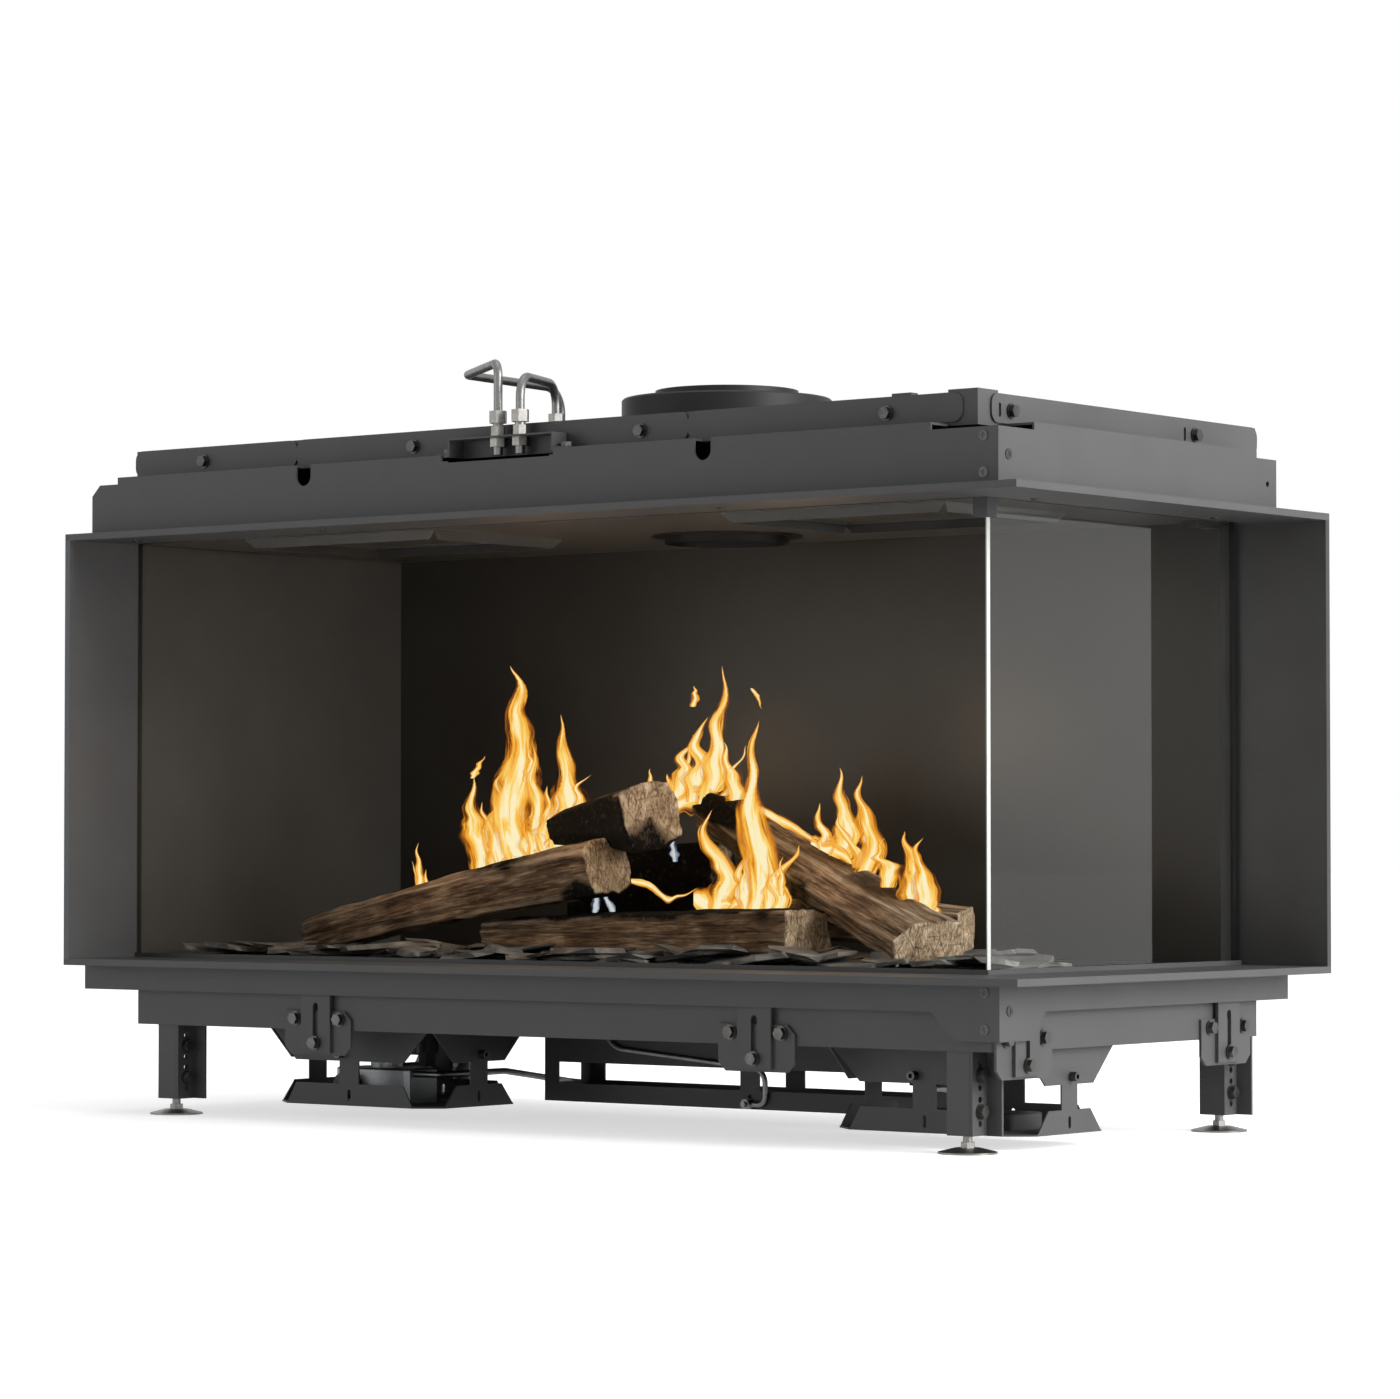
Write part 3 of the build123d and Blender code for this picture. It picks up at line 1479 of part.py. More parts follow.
# Middle cradle: long trough on necks, open between them
long_back_y = long_cradle_front_y + long_cradle_depth
mid_neck_x = (long_cradle_left_x + long_cradle_right_x) / 2 + long_neck_shift
neck_cuts_x = (
    (long_cradle_left_x + long_cradle_end_neck, mid_neck_x - long_cradle_mid_neck / 2),
    (mid_neck_x + long_cradle_mid_neck / 2, long_cradle_right_x - long_cradle_end_neck),
)
with BuildPart() as cradle_middle:
    block(
        long_cradle_left_x,
        long_cradle_right_x,
        long_cradle_front_y,
        long_back_y,
        long_cradle_floor,
        z_floor_sheet,
    )
    block(
        long_cradle_left_x + cradle_sheet,
        long_cradle_right_x - cradle_sheet,
        long_cradle_front_y + cradle_sheet,
        long_back_y - cradle_sheet,
        long_cradle_floor + cradle_sheet,
        z_floor_sheet,
        Mode.SUBTRACT,
    )
    for x0, x1 in neck_cuts_x:
        block(
            x0,
            x1,
            long_cradle_front_y - overrun,
            long_back_y + overrun,
            long_cradle_low_top,
            long_cradle_window_top,
            Mode.SUBTRACT,
        )
    block(
        long_cradle_left_x - overrun,
        long_cradle_right_x + overrun,
        long_cradle_front_y + long_cradle_end_neck,
        long_back_y - long_cradle_end_neck,
        long_cradle_low_top,
        long_cradle_window_top,
        Mode.SUBTRACT,
    )
    drill(
        facing_front(long_cradle_front_y, mid_neck_x, long_cradle_low_top - long_hole_drop),
        fascia_hole_radius,
        cradle_sheet,
    )
save(cradle_middle, "cradle_middle")

# Socket-head studs and small pins on the two hung cradles
with BuildPart() as cradle_studs:
    for name, centre_x, feed_x in cradle_runs:
        front, back, right, left = cradle_sides(centre_x)
        for plane, shift in ((front, -stud_offset), (right, stud_side_offset)):
            head = plane * Pos(shift, stud_height, 0)
            rod(Plane(head), allen_radius, allen_length)
            with BuildSketch(Plane(head).offset(allen_length)) as socket:
                RegularPolygon(allen_socket / 2, 6, major_radius=False)
            extrude(socket.sketch, amount=-allen_socket_depth, mode=Mode.SUBTRACT)
        for shift in (-cradle_width / 4, cradle_width / 4):
            rod(facing_down(cradle_floor, centre_x + shift, cradle_y), pin_radius, pin_length)
save(cradle_studs, "cradle_studs")

# Gas valve in the left cradle, with a bore for the spindle of its knob
cradle_inside = cradle_floor + cradle_sheet
valve_x = cradle_left_x + valve_offset_x
valve_y = cradle_y + valve_offset_y
valve_x0 = valve_x - valve_length / 2
valve_x1 = valve_x + valve_length / 2
valve_y0 = valve_y - valve_depth / 2
valve_y1 = valve_y + valve_depth / 2
valve_top = cradle_inside + valve_height
knob_z = valve_top - knob_radius - valve_chamfer
knob_x = valve_x - valve_length / 4
with BuildPart() as gas_valve:
    block(valve_x0, valve_x1, valve_y0, valve_y1, cradle_inside, valve_top)
    chamfer(gas_valve.edges().filter_by(Axis.Z), valve_chamfer)
    fillet(gas_valve.edges().group_by(Axis.Z)[-1], valve_chamfer / 2)
    rod(facing_up(valve_top - overrun, valve_x, valve_y), valve_tower_radius, valve_tower_height + overrun)
    rod(
        facing_front(valve_y0, knob_x, knob_z),
        knob_stem_radius + knob_stem_clearance,
        -knob_stem_length - knob_gap,
        Mode.SUBTRACT,
    )
save(gas_valve, "gas_valve")

# Knob: ribbed grip with a pointer and a round spindle
with BuildPart() as valve_knob:
    grip = facing_front(valve_y0 - knob_gap, knob_x, knob_z)
    with BuildSketch(grip) as disc:
        Circle(knob_radius)
        with PolarLocations(knob_radius, knob_ribs):
            Circle(knob_rib_radius, mode=Mode.SUBTRACT)
    extrude(disc.sketch, amount=knob_length)
    with BuildSketch(grip.offset(knob_length)) as pointer:
        with Locations((0, knob_radius / 2)):
            Rectangle(knob_pointer_width, knob_radius * knob_pointer_share)
    extrude(pointer.sketch, amount=-knob_pointer_width / 2, mode=Mode.SUBTRACT)
    rod(grip, knob_stem_radius, -knob_stem_length)
save(valve_knob, "valve_knob")

# Receiver box in the right cradle
receiver_x0 = burner_feed_right_x + mixing_tube_radius + receiver_gap
receiver_y1 = mixing_y - mixing_tube_radius
with BuildPart() as receiver_box:
    block(
        receiver_x0,
        receiver_x0 + receiver_width,
        receiver_y1 - receiver_depth,
        receiver_y1,
        cradle_inside,
        cradle_inside + receiver_height,
    )
    fillet(receiver_box.edges().filter_by(Axis.Z), receiver_round)
    chamfer(receiver_box.edges().group_by(Axis.Z)[-1], receiver_edge)
save(receiver_box, "receiver_box")

# Burners: two ported boxes, each with a bent mixing tube and its injector body
burner_z0 = pan_floor
burner_z1 = burner_z0 + burner_height
port_pitch = (burner_length - 2 * port_end_gap) / (port_count - 1)
port_xs = [(index - (port_count - 1) / 2) * port_pitch for index in range(port_count)]
with BuildPart() as burners:
    for centre_x in (burner_left_x, burner_right_x):
        block(
            centre_x - burner_length / 2,
            centre_x + burner_length / 2,
            burner_front,
            burner_rear,
            burner_z0,
            burner_z1,
        )
        with BuildSketch(facing_up(burner_z1, centre_x, burner_y)) as ports:
            for row in (-port_row_pitch / 2, port_row_pitch / 2):
                with Locations(*[(x, row) for x in port_xs]):
                    SlotOverall(port_length, port_width, rotation=90)
        extrude(ports.sketch, amount=-port_depth, mode=Mode.SUBTRACT)
    for feed_x in feed_xs:
        tube(
            [
                (feed_x, mixing_y, mixing_tube_low),
                (feed_x, mixing_y, mixing_tube_turn),
                (feed_x, riser_y, mixing_tube_turn),
                (feed_x, riser_y, burner_z0),
            ],
            mixing_tube_bend,
            mixing_tube_radius,
        )
        hexagon(facing_down(mixing_tube_low, feed_x, mixing_y), injector_across, injector_length)
save(burners, "burners")

# Gas tubes: feeds to both injectors, the supply pipe with its union, and the pilot tube
injector_low = mixing_tube_low - injector_length
supply_x = valve_x0 + supply_inset
feed_y = cradle_y + feed_offset_y
supply_end_y = inlet_end_y - inlet_nut_length - inlet_thread_length
pilot_front = long_cradle_front_y - thin_tube_radius - fit_gap
feed_side_x = cradle_left_x + cradle_half_x - feed_side_inset
feed_out_y = cradle_y + cradle_half_y + feed_rear_gap
feed_back_y = long_back_y + feed_rear_gap
feed_bends = [feed_bend] + 4 * [feed_dip_bend] + [(injector_low - feed_level) / 2]
with BuildPart() as gas_tubes:
    tube(
        [
            (feed_xs[0], valve_y1 - overrun / 2, feed_height),
            (feed_xs[0], mixing_y, feed_height),
            (feed_xs[0], mixing_y, injector_low),
        ],
        feed_bend,
        feed_radius,
    )
    tube(
        [
            (valve_x1 - overrun / 2, feed_y, feed_level),
            (feed_side_x, feed_y, feed_level),
            (feed_side_x, feed_out_y, feed_level),
            (feed_side_x, feed_back_y, feed_rear_level),
            (feed_xs[1], feed_back_y, feed_rear_level),
            (feed_xs[1], feed_out_y, feed_level),
            (feed_xs[1], mixing_y, feed_level),
            (feed_xs[1], mixing_y, injector_low),
        ],
        feed_bends,
        feed_radius,
    )
    supply = Plane(origin=(supply_x, valve_y1, feed_level), x_dir=(1, 0, 0), z_dir=(0, 1, 0))
    rod(supply, inlet_radius, supply_end_y - valve_y1)
    hexagon(supply.offset(supply_end_y - valve_y1), inlet_nut_across, inlet_nut_length)
    thread = supply.offset(supply_end_y - valve_y1 + inlet_nut_length)
    rod(thread, inlet_thread_radius, inlet_thread_length)
    rod(thread, inlet_radius, inlet_thread_length, Mode.SUBTRACT)
    add(gas_valve.part, mode=Mode.SUBTRACT)
    tube(
        [
            (mid_neck_x - pilot_rise_side, pilot_front, z_floor_sheet),
            (mid_neck_x - pilot_rise_side, pilot_front, pilot_high),
            (mid_neck_x + pilot_turn_side, pilot_front, pilot_low),
            (mid_neck_x + pilot_turn_side, pilot_front, pilot_fitting_z),
            (mid_neck_x, pilot_front, pilot_fitting_z),
        ],
        [pilot_first_bend, pilot_bend, pilot_end_bend],
        thin_tube_radius,
    )
    fitting_spot = (mid_neck_x, long_cradle_front_y, pilot_fitting_z)
    fitting = Plane(origin=fitting_spot, x_dir=(1, 0, 0), z_dir=(0, -1, 0))
    hexagon(fitting, pilot_fitting_across, pilot_fitting_length)
    rod(fitting.offset(pilot_fitting_length), thin_tube_radius, pilot_fitting_tip)
save(gas_tubes, "gas_tubes")

# Pilot burner between the two burners, with its hood, electrode and thermocouple
pilot_x = (burner_left_x + burner_right_x) / 2
pilot_y = burner_y - pilot_front_offset
with BuildPart() as pilot_burner:
    base = facing_up(pan_floor, pilot_x, pilot_y)
    with BuildSketch(base) as foot_plate:
        Rectangle(pilot_plate_length, pilot_plate_width)
        fillet(foot_plate.vertices(), pilot_plate_width / 4)
    extrude(foot_plate.sketch, amount=hatch_sheet)
    rod(base, pilot_hood_radius * pilot_body_share, pilot_base)
    rod(base.offset(pilot_base), pilot_hood_radius, pilot_height - pilot_base)
    rod(base.offset(pilot_base + hatch_sheet), pilot_hood_radius - hatch_sheet, pilot_height, Mode.SUBTRACT)
    block(
        pilot_x - pilot_hood_radius / 2,
        pilot_x + pilot_hood_radius / 2,
        pilot_y - 2 * pilot_hood_radius,
        pilot_y,
        pan_floor + pilot_base + hatch_sheet,
        pan_floor + pilot_height + overrun,
        Mode.SUBTRACT,
    )
    hood_shift = pilot_plate_length / 2 - pilot_hood_radius / 2
    for shift in (-hood_shift, hood_shift):
        rod(facing_up(pan_floor, pilot_x + shift, pilot_y), electrode_radius, electrode_height)
save(pilot_burner, "pilot_burner")


def log(ends):
    """Faceted tapering log between two ends, each given by centre, half width and half height."""
    places = [(x * casing_width, burner_y + y, z_sill + rise) for x, y, rise, wide, high in ends]
    start, end = [Vector(place) for place in places]
    run = end - start
    across = Vector(0, 0, 1).cross(run).normalized()
    faces = []
    for middle, (wide, high) in ((start, ends[0][3:]), (end, ends[1][3:])):
        with BuildSketch(Plane(origin=middle, x_dir=across, z_dir=run)) as section:
            with BuildLine():
                turns = [2 * pi * index / log_facets for index in range(log_facets)]
                Polyline(
                    *[
                        (wide * share * cos(turn), high * share * sin(turn))
                        for turn, share in zip(turns, log_radius_shares)
                    ],
                    close=True,
                )
            make_face()
        faces.append(section.sketch.faces()[0])
    loft(faces, ruled=True)


# Logs: each later log is cut where it rests on an earlier one
with BuildPart() as log_front:
    log(log_front_ends)
    add(burners.part, mode=Mode.SUBTRACT)
save(log_front, "log_front")

with BuildPart() as log_left:
    log(log_left_ends)
    for lower in (burners, log_front):
        add(lower.part, mode=Mode.SUBTRACT)
save(log_left, "log_left")

with BuildPart() as log_right:
    log(log_right_ends)
    for lower in (burners, log_front, log_left):
        add(lower.part, mode=Mode.SUBTRACT)
save(log_right, "log_right")

with BuildPart() as logs_back:
    log(log_far_ends)
    log(log_back_ends)
    for lower in (burners, pilot_burner, log_front, log_left, log_right):
        add(lower.part, mode=Mode.SUBTRACT)
save(logs_back, "logs_back")

with BuildPart() as log_top:
    log(log_top_ends)
    for lower in (log_front, log_left, log_right, logs_back):
        add(lower.part, mode=Mode.SUBTRACT)
save(log_top, "log_top")

# Slate chips: a bed of low irregular slabs on the burner pan, in front of the burners and at the right
chip_x0 = well_x0 + fit_gap + pan_sheet + chip_edge
chip_x1 = well_x1 - fit_gap - pan_sheet - chip_edge
chip_y0 = well_y0 + fit_gap + pan_sheet + chip_edge
chip_y1 = burner_front - chip_burner_gap
columns = int((chip_x1 - chip_x0) // chip_cell_x)
rows = int((chip_y1 - chip_y0) // chip_cell_y)
with BuildPart() as slate_chips:
    block(chip_x0, chip_x1, chip_y0, chip_y1, pan_floor, pan_floor + chip_bed)
    for column in range(columns):
        for row in range(rows):
            pick = (column * 2 + row * 3) % len(chip_round_shares)
            middle_x = chip_x0 + (column + (row % 2 + 1) / 3) * chip_cell_x
            middle_y = chip_y0 + (row + 1 / 2) * chip_cell_y
            reach = chip_cell_x * chip_size_share * chip_round_shares[pick]
            rise = chip_thick * chip_height_shares[pick]
            with BuildSketch(facing_up(pan_floor + chip_bed, middle_x, middle_y)) as chip:
                with BuildLine():
                    Polyline(
                        (-reach, 0),
                        (-reach / 2, -chip_cell_y * chip_size_share),
                        (reach / 2, -chip_cell_y * chip_size_share * chip_round_shares[pick]),
                        (reach, 0),
                        (reach / 3, chip_cell_y * chip_size_share),
                        (-reach / 2, chip_cell_y * chip_size_share * chip_round_shares[pick]),
                        close=True,
                    )
                make_face()
            extrude(chip.sketch, amount=rise)
    for lower in (log_front, log_left, log_right, logs_back):
        add(lower.part, mode=Mode.SUBTRACT)
save(slate_chips, "slate_chips")
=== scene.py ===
# Corner gas fireplace: finishes, log set, slate bed, flames, camera and studio.
import bpy
import json
import math
import random
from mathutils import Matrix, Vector, noise


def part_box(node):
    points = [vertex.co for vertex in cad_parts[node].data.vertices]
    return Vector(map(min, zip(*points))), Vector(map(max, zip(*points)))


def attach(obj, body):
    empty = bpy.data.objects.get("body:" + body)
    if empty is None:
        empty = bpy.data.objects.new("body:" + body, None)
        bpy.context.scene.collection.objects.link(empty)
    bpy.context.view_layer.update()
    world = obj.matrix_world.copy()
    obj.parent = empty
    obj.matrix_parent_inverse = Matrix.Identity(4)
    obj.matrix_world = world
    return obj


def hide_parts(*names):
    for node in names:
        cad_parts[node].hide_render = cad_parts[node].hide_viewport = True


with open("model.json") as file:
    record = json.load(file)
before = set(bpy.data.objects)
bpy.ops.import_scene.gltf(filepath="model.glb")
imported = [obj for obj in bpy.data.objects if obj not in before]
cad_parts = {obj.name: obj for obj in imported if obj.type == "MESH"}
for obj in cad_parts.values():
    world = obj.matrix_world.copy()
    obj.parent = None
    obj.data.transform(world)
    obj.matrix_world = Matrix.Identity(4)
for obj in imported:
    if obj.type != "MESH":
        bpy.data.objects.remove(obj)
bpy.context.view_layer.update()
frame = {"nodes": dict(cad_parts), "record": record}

MM = 0.001

# Camera: where the photographer stood, in millimetres, and how far the lens reaches
camera_place = (2642.2, -3351.4, 257.8)
camera_azimuth = 37.96
camera_elevation = 1.78
camera_lens = 118.37
sensor_width = 36.0
far_clip = 100

# Directions of the sheets that carry the flames: square to the camera's line of sight, and along it
across = Vector((math.cos(math.radians(camera_azimuth)), math.sin(math.radians(camera_azimuth)), 0))
depth = Vector((-across.y, across.x, 0))


# Colours and nodes
def linear(code):
    """An sRGB hex colour as linear RGBA."""
    parts = [int(code[i:i + 2], 16) / 255 for i in (1, 3, 5)]
    return [p / 12.92 if p <= 0.04045 else ((p + 0.055) / 1.055) ** 2.4 for p in parts] + [1.0]


def fill(tree, made, links):
    """Links sockets of a node where a socket is given, and sets them where a value is."""
    for key, value in links.items():
        if isinstance(value, bpy.types.NodeSocket):
            tree.links.new(value, made.inputs[key])
        else:
            made.inputs[key].default_value = value


def node(tree, kind, links=None, stops=None, **settings):
    """Adds a node with its settings, and links or fills its sockets."""
    made = tree.nodes.new(kind)
    for key, value in settings.items():
        setattr(made, key, value)
    fill(tree, made, links or {})
    if stops:
        bar = made.color_ramp.elements
        while len(bar) < len(stops):
            bar.new(0.5)
        for mark, (place, colour) in zip(bar, stops):
            mark.position = place
            mark.color = linear(colour)
    return made


def material(name):
    """A new material, its node tree, and its surface shader wired to the output."""
    made = bpy.data.materials.new(name)
    made.use_nodes = True
    tree = made.node_tree
    tree.nodes.clear()
    skin = node(tree, "ShaderNodeBsdfPrincipled")
    node(tree, "ShaderNodeOutputMaterial", {"Surface": skin.outputs[0]})
    return made, tree, skin


def surface(tree, shader):
    """Puts another shader on the material's output."""
    out = [n for n in tree.nodes if n.type == "OUTPUT_MATERIAL"][0]
    tree.links.new(shader, out.inputs["Surface"])


def per_metre(size_mm):
    """Pattern scale for a feature of this size in millimetres."""
    return 1 / (size_mm * MM)


def object_spot(tree):
    return node(tree, "ShaderNodeTexCoord").outputs["Object"]


def grain(tree, spot, size_mm, detail, **more):
    """Noise at this spot, with features of about this size."""
    links = {"Vector": spot, "Scale": per_metre(size_mm), "Detail": detail, **more}
    return node(tree, "ShaderNodeTexNoise", links).outputs["Fac"]


def ramp(tree, value, stops):
    """The colour that belongs to a value."""
    return node(tree, "ShaderNodeValToRGB", {"Fac": value}, stops=stops).outputs["Color"]


def two_tone(tree, value, colours):
    """From the one colour where the noise is low to the other where it is high."""
    return ramp(tree, value, list(zip((0.3, 0.7), colours)))


def spread(tree, value, taken, given, **settings):
    """Maps the range taken of a value to the range given."""
    names = ("From Min", "From Max", "To Min", "To Max")
    links = {"Value": value, **dict(zip(names, (*taken, *given)))}
    return node(tree, "ShaderNodeMapRange", links, **settings).outputs["Result"]


def sums(tree, operation, *values, **settings):
    return node(tree, "ShaderNodeMath", dict(enumerate(values)), operation=operation, **settings).outputs[0]


def vectors(tree, operation, first, second):
    return node(tree, "ShaderNodeVectorMath", {0: first, 1: second}, operation=operation).outputs


def mix_colours(tree, share, first, second, **settings):
    links = {0: share, 6: first, 7: second}
    return node(tree, "ShaderNodeMix", links, data_type="RGBA", **settings).outputs[2]


def mix_shaders(tree, share, first, second):
    return node(tree, "ShaderNodeMixShader", {0: share, 1: first, 2: second}).outputs[0]


def dented(tree, height, strength, deep):
    """Surface normal over a relief that is this many metres deep."""
    links = {"Height": height, "Strength": strength, "Distance": deep}
    return node(tree, "ShaderNodeBump", links).outputs["Normal"]


# Powder coat on folded steel sheet. The eye sees an even satin skin with a faint cloudiness, and a little
# orange peel, which is drawn coarser than the real one of about 1 mm to show at all.
def powder_coat(name, colours, rough, sheen, peel=0.2):
    made, tree, skin = material(name)
    spot = object_spot(tree)
    cloud = grain(tree, spot, 90, 4.0)
    bead = grain(tree, spot, 2.4, 2.0)
    fill(tree, skin, {
        "Base Color": two_tone(tree, cloud, colours),
        "Roughness": spread(tree, cloud, (0, 1), (rough - 0.03, rough + 0.03)),
        "Normal": dented(tree, bead, peel, 0.0002),
        "Specular IOR Level": sheen,
    })
    return made


# Zinc plate on screws, studs and tubes. The eye sees a grey metal, slightly cloudy, with duller and brighter
# spots.
def zinc_plate(name, colours, rough):
    made, tree, skin = material(name)
    spot = object_spot(tree)
    spangle = node(tree, "ShaderNodeTexVoronoi", {"Vector": spot, "Scale": per_metre(3)}).outputs["Distance"]
    fill(tree, skin, {
        "Base Color": two_tone(tree, grain(tree, spot, 12, 3.0), colours),
        "Roughness": spread(tree, spangle, (0, 1), (rough - 0.06, rough + 0.1)),
        "Metallic": 1.0,
    })
    return made


# Aluminium die casting. The eye sees a soft grey metal with a grainy cast skin, its grain drawn coarser than
# real.
def die_cast(name):
    made, tree, skin = material(name)
    pits = grain(tree, object_spot(tree), 1.5, 3.0)
    fill(tree, skin, {
        "Base Color": two_tone(tree, pits, ("#7e8082", "#96989a")),
        "Normal": dented(tree, pits, 0.4, 0.0002),
        "Metallic": 1.0,
        "Roughness": 0.48,
    })
    return made


# Moulded black plastic of the knob. The eye sees a dark, slightly glossy skin with a spark-eroded grain, which
# is drawn coarser than real.
def moulded_plastic(name):
    made, tree, skin = material(name)
    pits = grain(tree, object_spot(tree), 0.8, 2.0)
    fill(tree, skin, {
        "Base Color": two_tone(tree, pits, ("#161617", "#1f1f20")),
        "Normal": dented(tree, pits, 0.3, 0.0001),
        "Roughness": 0.45,
    })
    return made


# Glass ceramic pane. The eye sees clear faces that mirror by Fresnel, less by what a non-reflecting layer
# takes away. The ground edge at the open corner is drawn pale, partly its ground finish and partly a painted
# highlight, and the other one is drawn dark where the casing holds it. edge_axis: the axis from edge to edge;
# open_end: on which side of it the open corner is; taken: what the layer takes from the mirror. A face is an
# edge where its normal lies this far along that axis.
edge_on = 0.7


def pane_glass(name, edge_axis, open_end, taken):
    made, tree, skin = material(name)
    shape = node(tree, "ShaderNodeNewGeometry").outputs
    along = node(tree, "ShaderNodeSeparateXYZ", {"Vector": shape["True Normal"]}).outputs[edge_axis]
    is_edge = sums(tree, "GREATER_THAN", sums(tree, "ABSOLUTE", along), edge_on)
    towards = sums(tree, "MULTIPLY", along, open_end)
    seen_outside = sums(tree, "SUBTRACT", towards, shape["Backfacing"])
    gets_painted_highlight = sums(tree, "GREATER_THAN", seen_outside, edge_on)
    # Painted highlight: the open corner's edge, seen from outside, is drawn pale, partly as its ground finish;
    # the other edges are dark
    edge_with_painted_highlight = mix_colours(tree, gets_painted_highlight, linear("#1e1f1e"), linear("#bcbebb"))
    fill(tree, skin, {"Base Color": edge_with_painted_highlight, "Roughness": 0.35})
    mirror = node(tree, "ShaderNodeBsdfGlossy", {"Color": (1, 1, 1, 1), "Roughness": 0.02}).outputs[0]
    clear = node(tree, "ShaderNodeBsdfTransparent", {"Color": linear("#f6f5f2")}).outputs[0]
    fresnel = node(tree, "ShaderNodeFresnel", {"IOR": 1.52}).outputs[0]
    coated = sums(tree, "SUBTRACT", fresnel, taken)
    share = sums(tree, "SUBTRACT", coated, shape["Backfacing"], use_clamp=True)
    face = mix_shaders(tree, share, clear, mirror)
    surface(tree, mix_shaders(tree, is_edge, face, skin.outputs[0]))
    return made


# Ceramic fibre log, painted as split oak. The eye sees tan and brown fibres along the log, drawn coarser than
# real ones, dark cracks between them, pale ridges where a highlight is painted on the corners, char where the
# fire licks it, and ash flecks on the char. streak: how many times longer than wide the fibres are; crack: how
# wide the cracks are, as a share of their spacing
def log_skin(name, light, dark, fibre_mm, streak, crack):
    made, tree, skin = material(name)
    uv = node(tree, "ShaderNodeUVMap", uv_map="grain").outputs["UV"]
    spot = object_spot(tree)
    marks = node(tree, "ShaderNodeVertexColor", layer_name="marks").outputs["Color"]
    parts = node(tree, "ShaderNodeSeparateColor", {"Color": marks}).outputs
    drawn = node(tree, "ShaderNodeMapping", {"Vector": uv, "Scale": (1 / streak, 1, 1)}).outputs[0]
    fibre = grain(tree, drawn, fibre_mm, 5.0, Roughness=0.7, Distortion=0.3)
    band = grain(tree, drawn, fibre_mm * 4, 3.0, Distortion=1.0)
    patch = grain(tree, spot, 38, 3.0)

    # Fibres over broader bands, darkened in blotches of a few centimetres
    both = node(tree, "ShaderNodeMix", {0: 0.62, 2: band, 3: fibre}).outputs[0]
    wood = ramp(tree, both, [(0.36, dark[0]), (0.46, dark[1]), (0.54, light[0]), (0.65, light[1])])
    blotch = ramp(tree, patch, [(0.38, "#a3968c"), (0.6, "#ffffff")])
    tinted = mix_colours(tree, 0.7, wood, blotch, blend_type="MULTIPLY")

    # Painted highlight: corners drawn pale, where light would catch them
    ridge_highlight = sums(tree, "MULTIPLY", sums(tree, "MULTIPLY", parts["Green"], 1.5), fibre)
    highlit_ridge = mix_colours(tree, ridge_highlight, tinted, linear(light[1]))

    # Cracks along the grain
    net = {"Vector": drawn, "Scale": per_metre(fibre_mm * 6)}
    gap = node(tree, "ShaderNodeTexVoronoi", net, feature="DISTANCE_TO_EDGE").outputs["Distance"]
    sound = spread(tree, gap, (0.01, crack), (0.5, 1.0))
    split = mix_colours(tree, sound, linear(dark[0]), highlit_ridge)

    # Char where the marks say so, with a ragged rim, and ash flecks on it
    fleck = grain(tree, spot, 5, 5.0, Roughness=0.65)
    coal = ramp(tree, fleck, [(0.56, "#0f0d0c"), (0.66, "#322d29"), (0.78, "#8d857c")])
    ragged = sums(tree, "ADD", patch, both)
    burn = sums(tree, "MULTIPLY_ADD", parts["Red"], 2.1, ragged)
    charred = spread(tree, burn, (1.75, 2.05), (0, 1))
    height = sums(tree, "MULTIPLY_ADD", sound, 0.8, fibre)
    fill(tree, skin, {
        "Base Color": mix_colours(tree, charred, split, coal),
        "Normal": dented(tree, height, 0.8, 0.0014),
        "Roughness": 0.88,
        "Specular IOR Level": 0.15,
    })
    return made


# Split slate. The eye sees blue-grey flakes, some darker than others, with a dull sheen and fine layers.
def split_slate(name):
    made, tree, skin = material(name)
    spot = object_spot(tree)
    cloud = grain(tree, spot, 28, 5.0)
    layer = grain(tree, spot, 5, 5.0, Roughness=0.65)
    fill(tree, skin, {
        "Base Color": ramp(tree, cloud, [(0.3, "#535455"), (0.5, "#6e6f70"), (0.68, "#979899")]),
        "Normal": dented(tree, layer, 0.8, 0.0015),
        "Roughness": 0.62,
        "Specular IOR Level": 0.3,
    })
    return made


# Gas flame: a glowing veil. The eye sees a cream heart, gold and then orange towards the rim, fine strands
# that run up with the draught, and a ragged, see-through edge. The strands are counted by the width and the
# length of a tongue, and move on with the place in the fireplace, so that no two tongues are alike.
strands_wide = 4.0
strands_long = 1.1
strand_scale = 1.5
drift_per_metre = 18


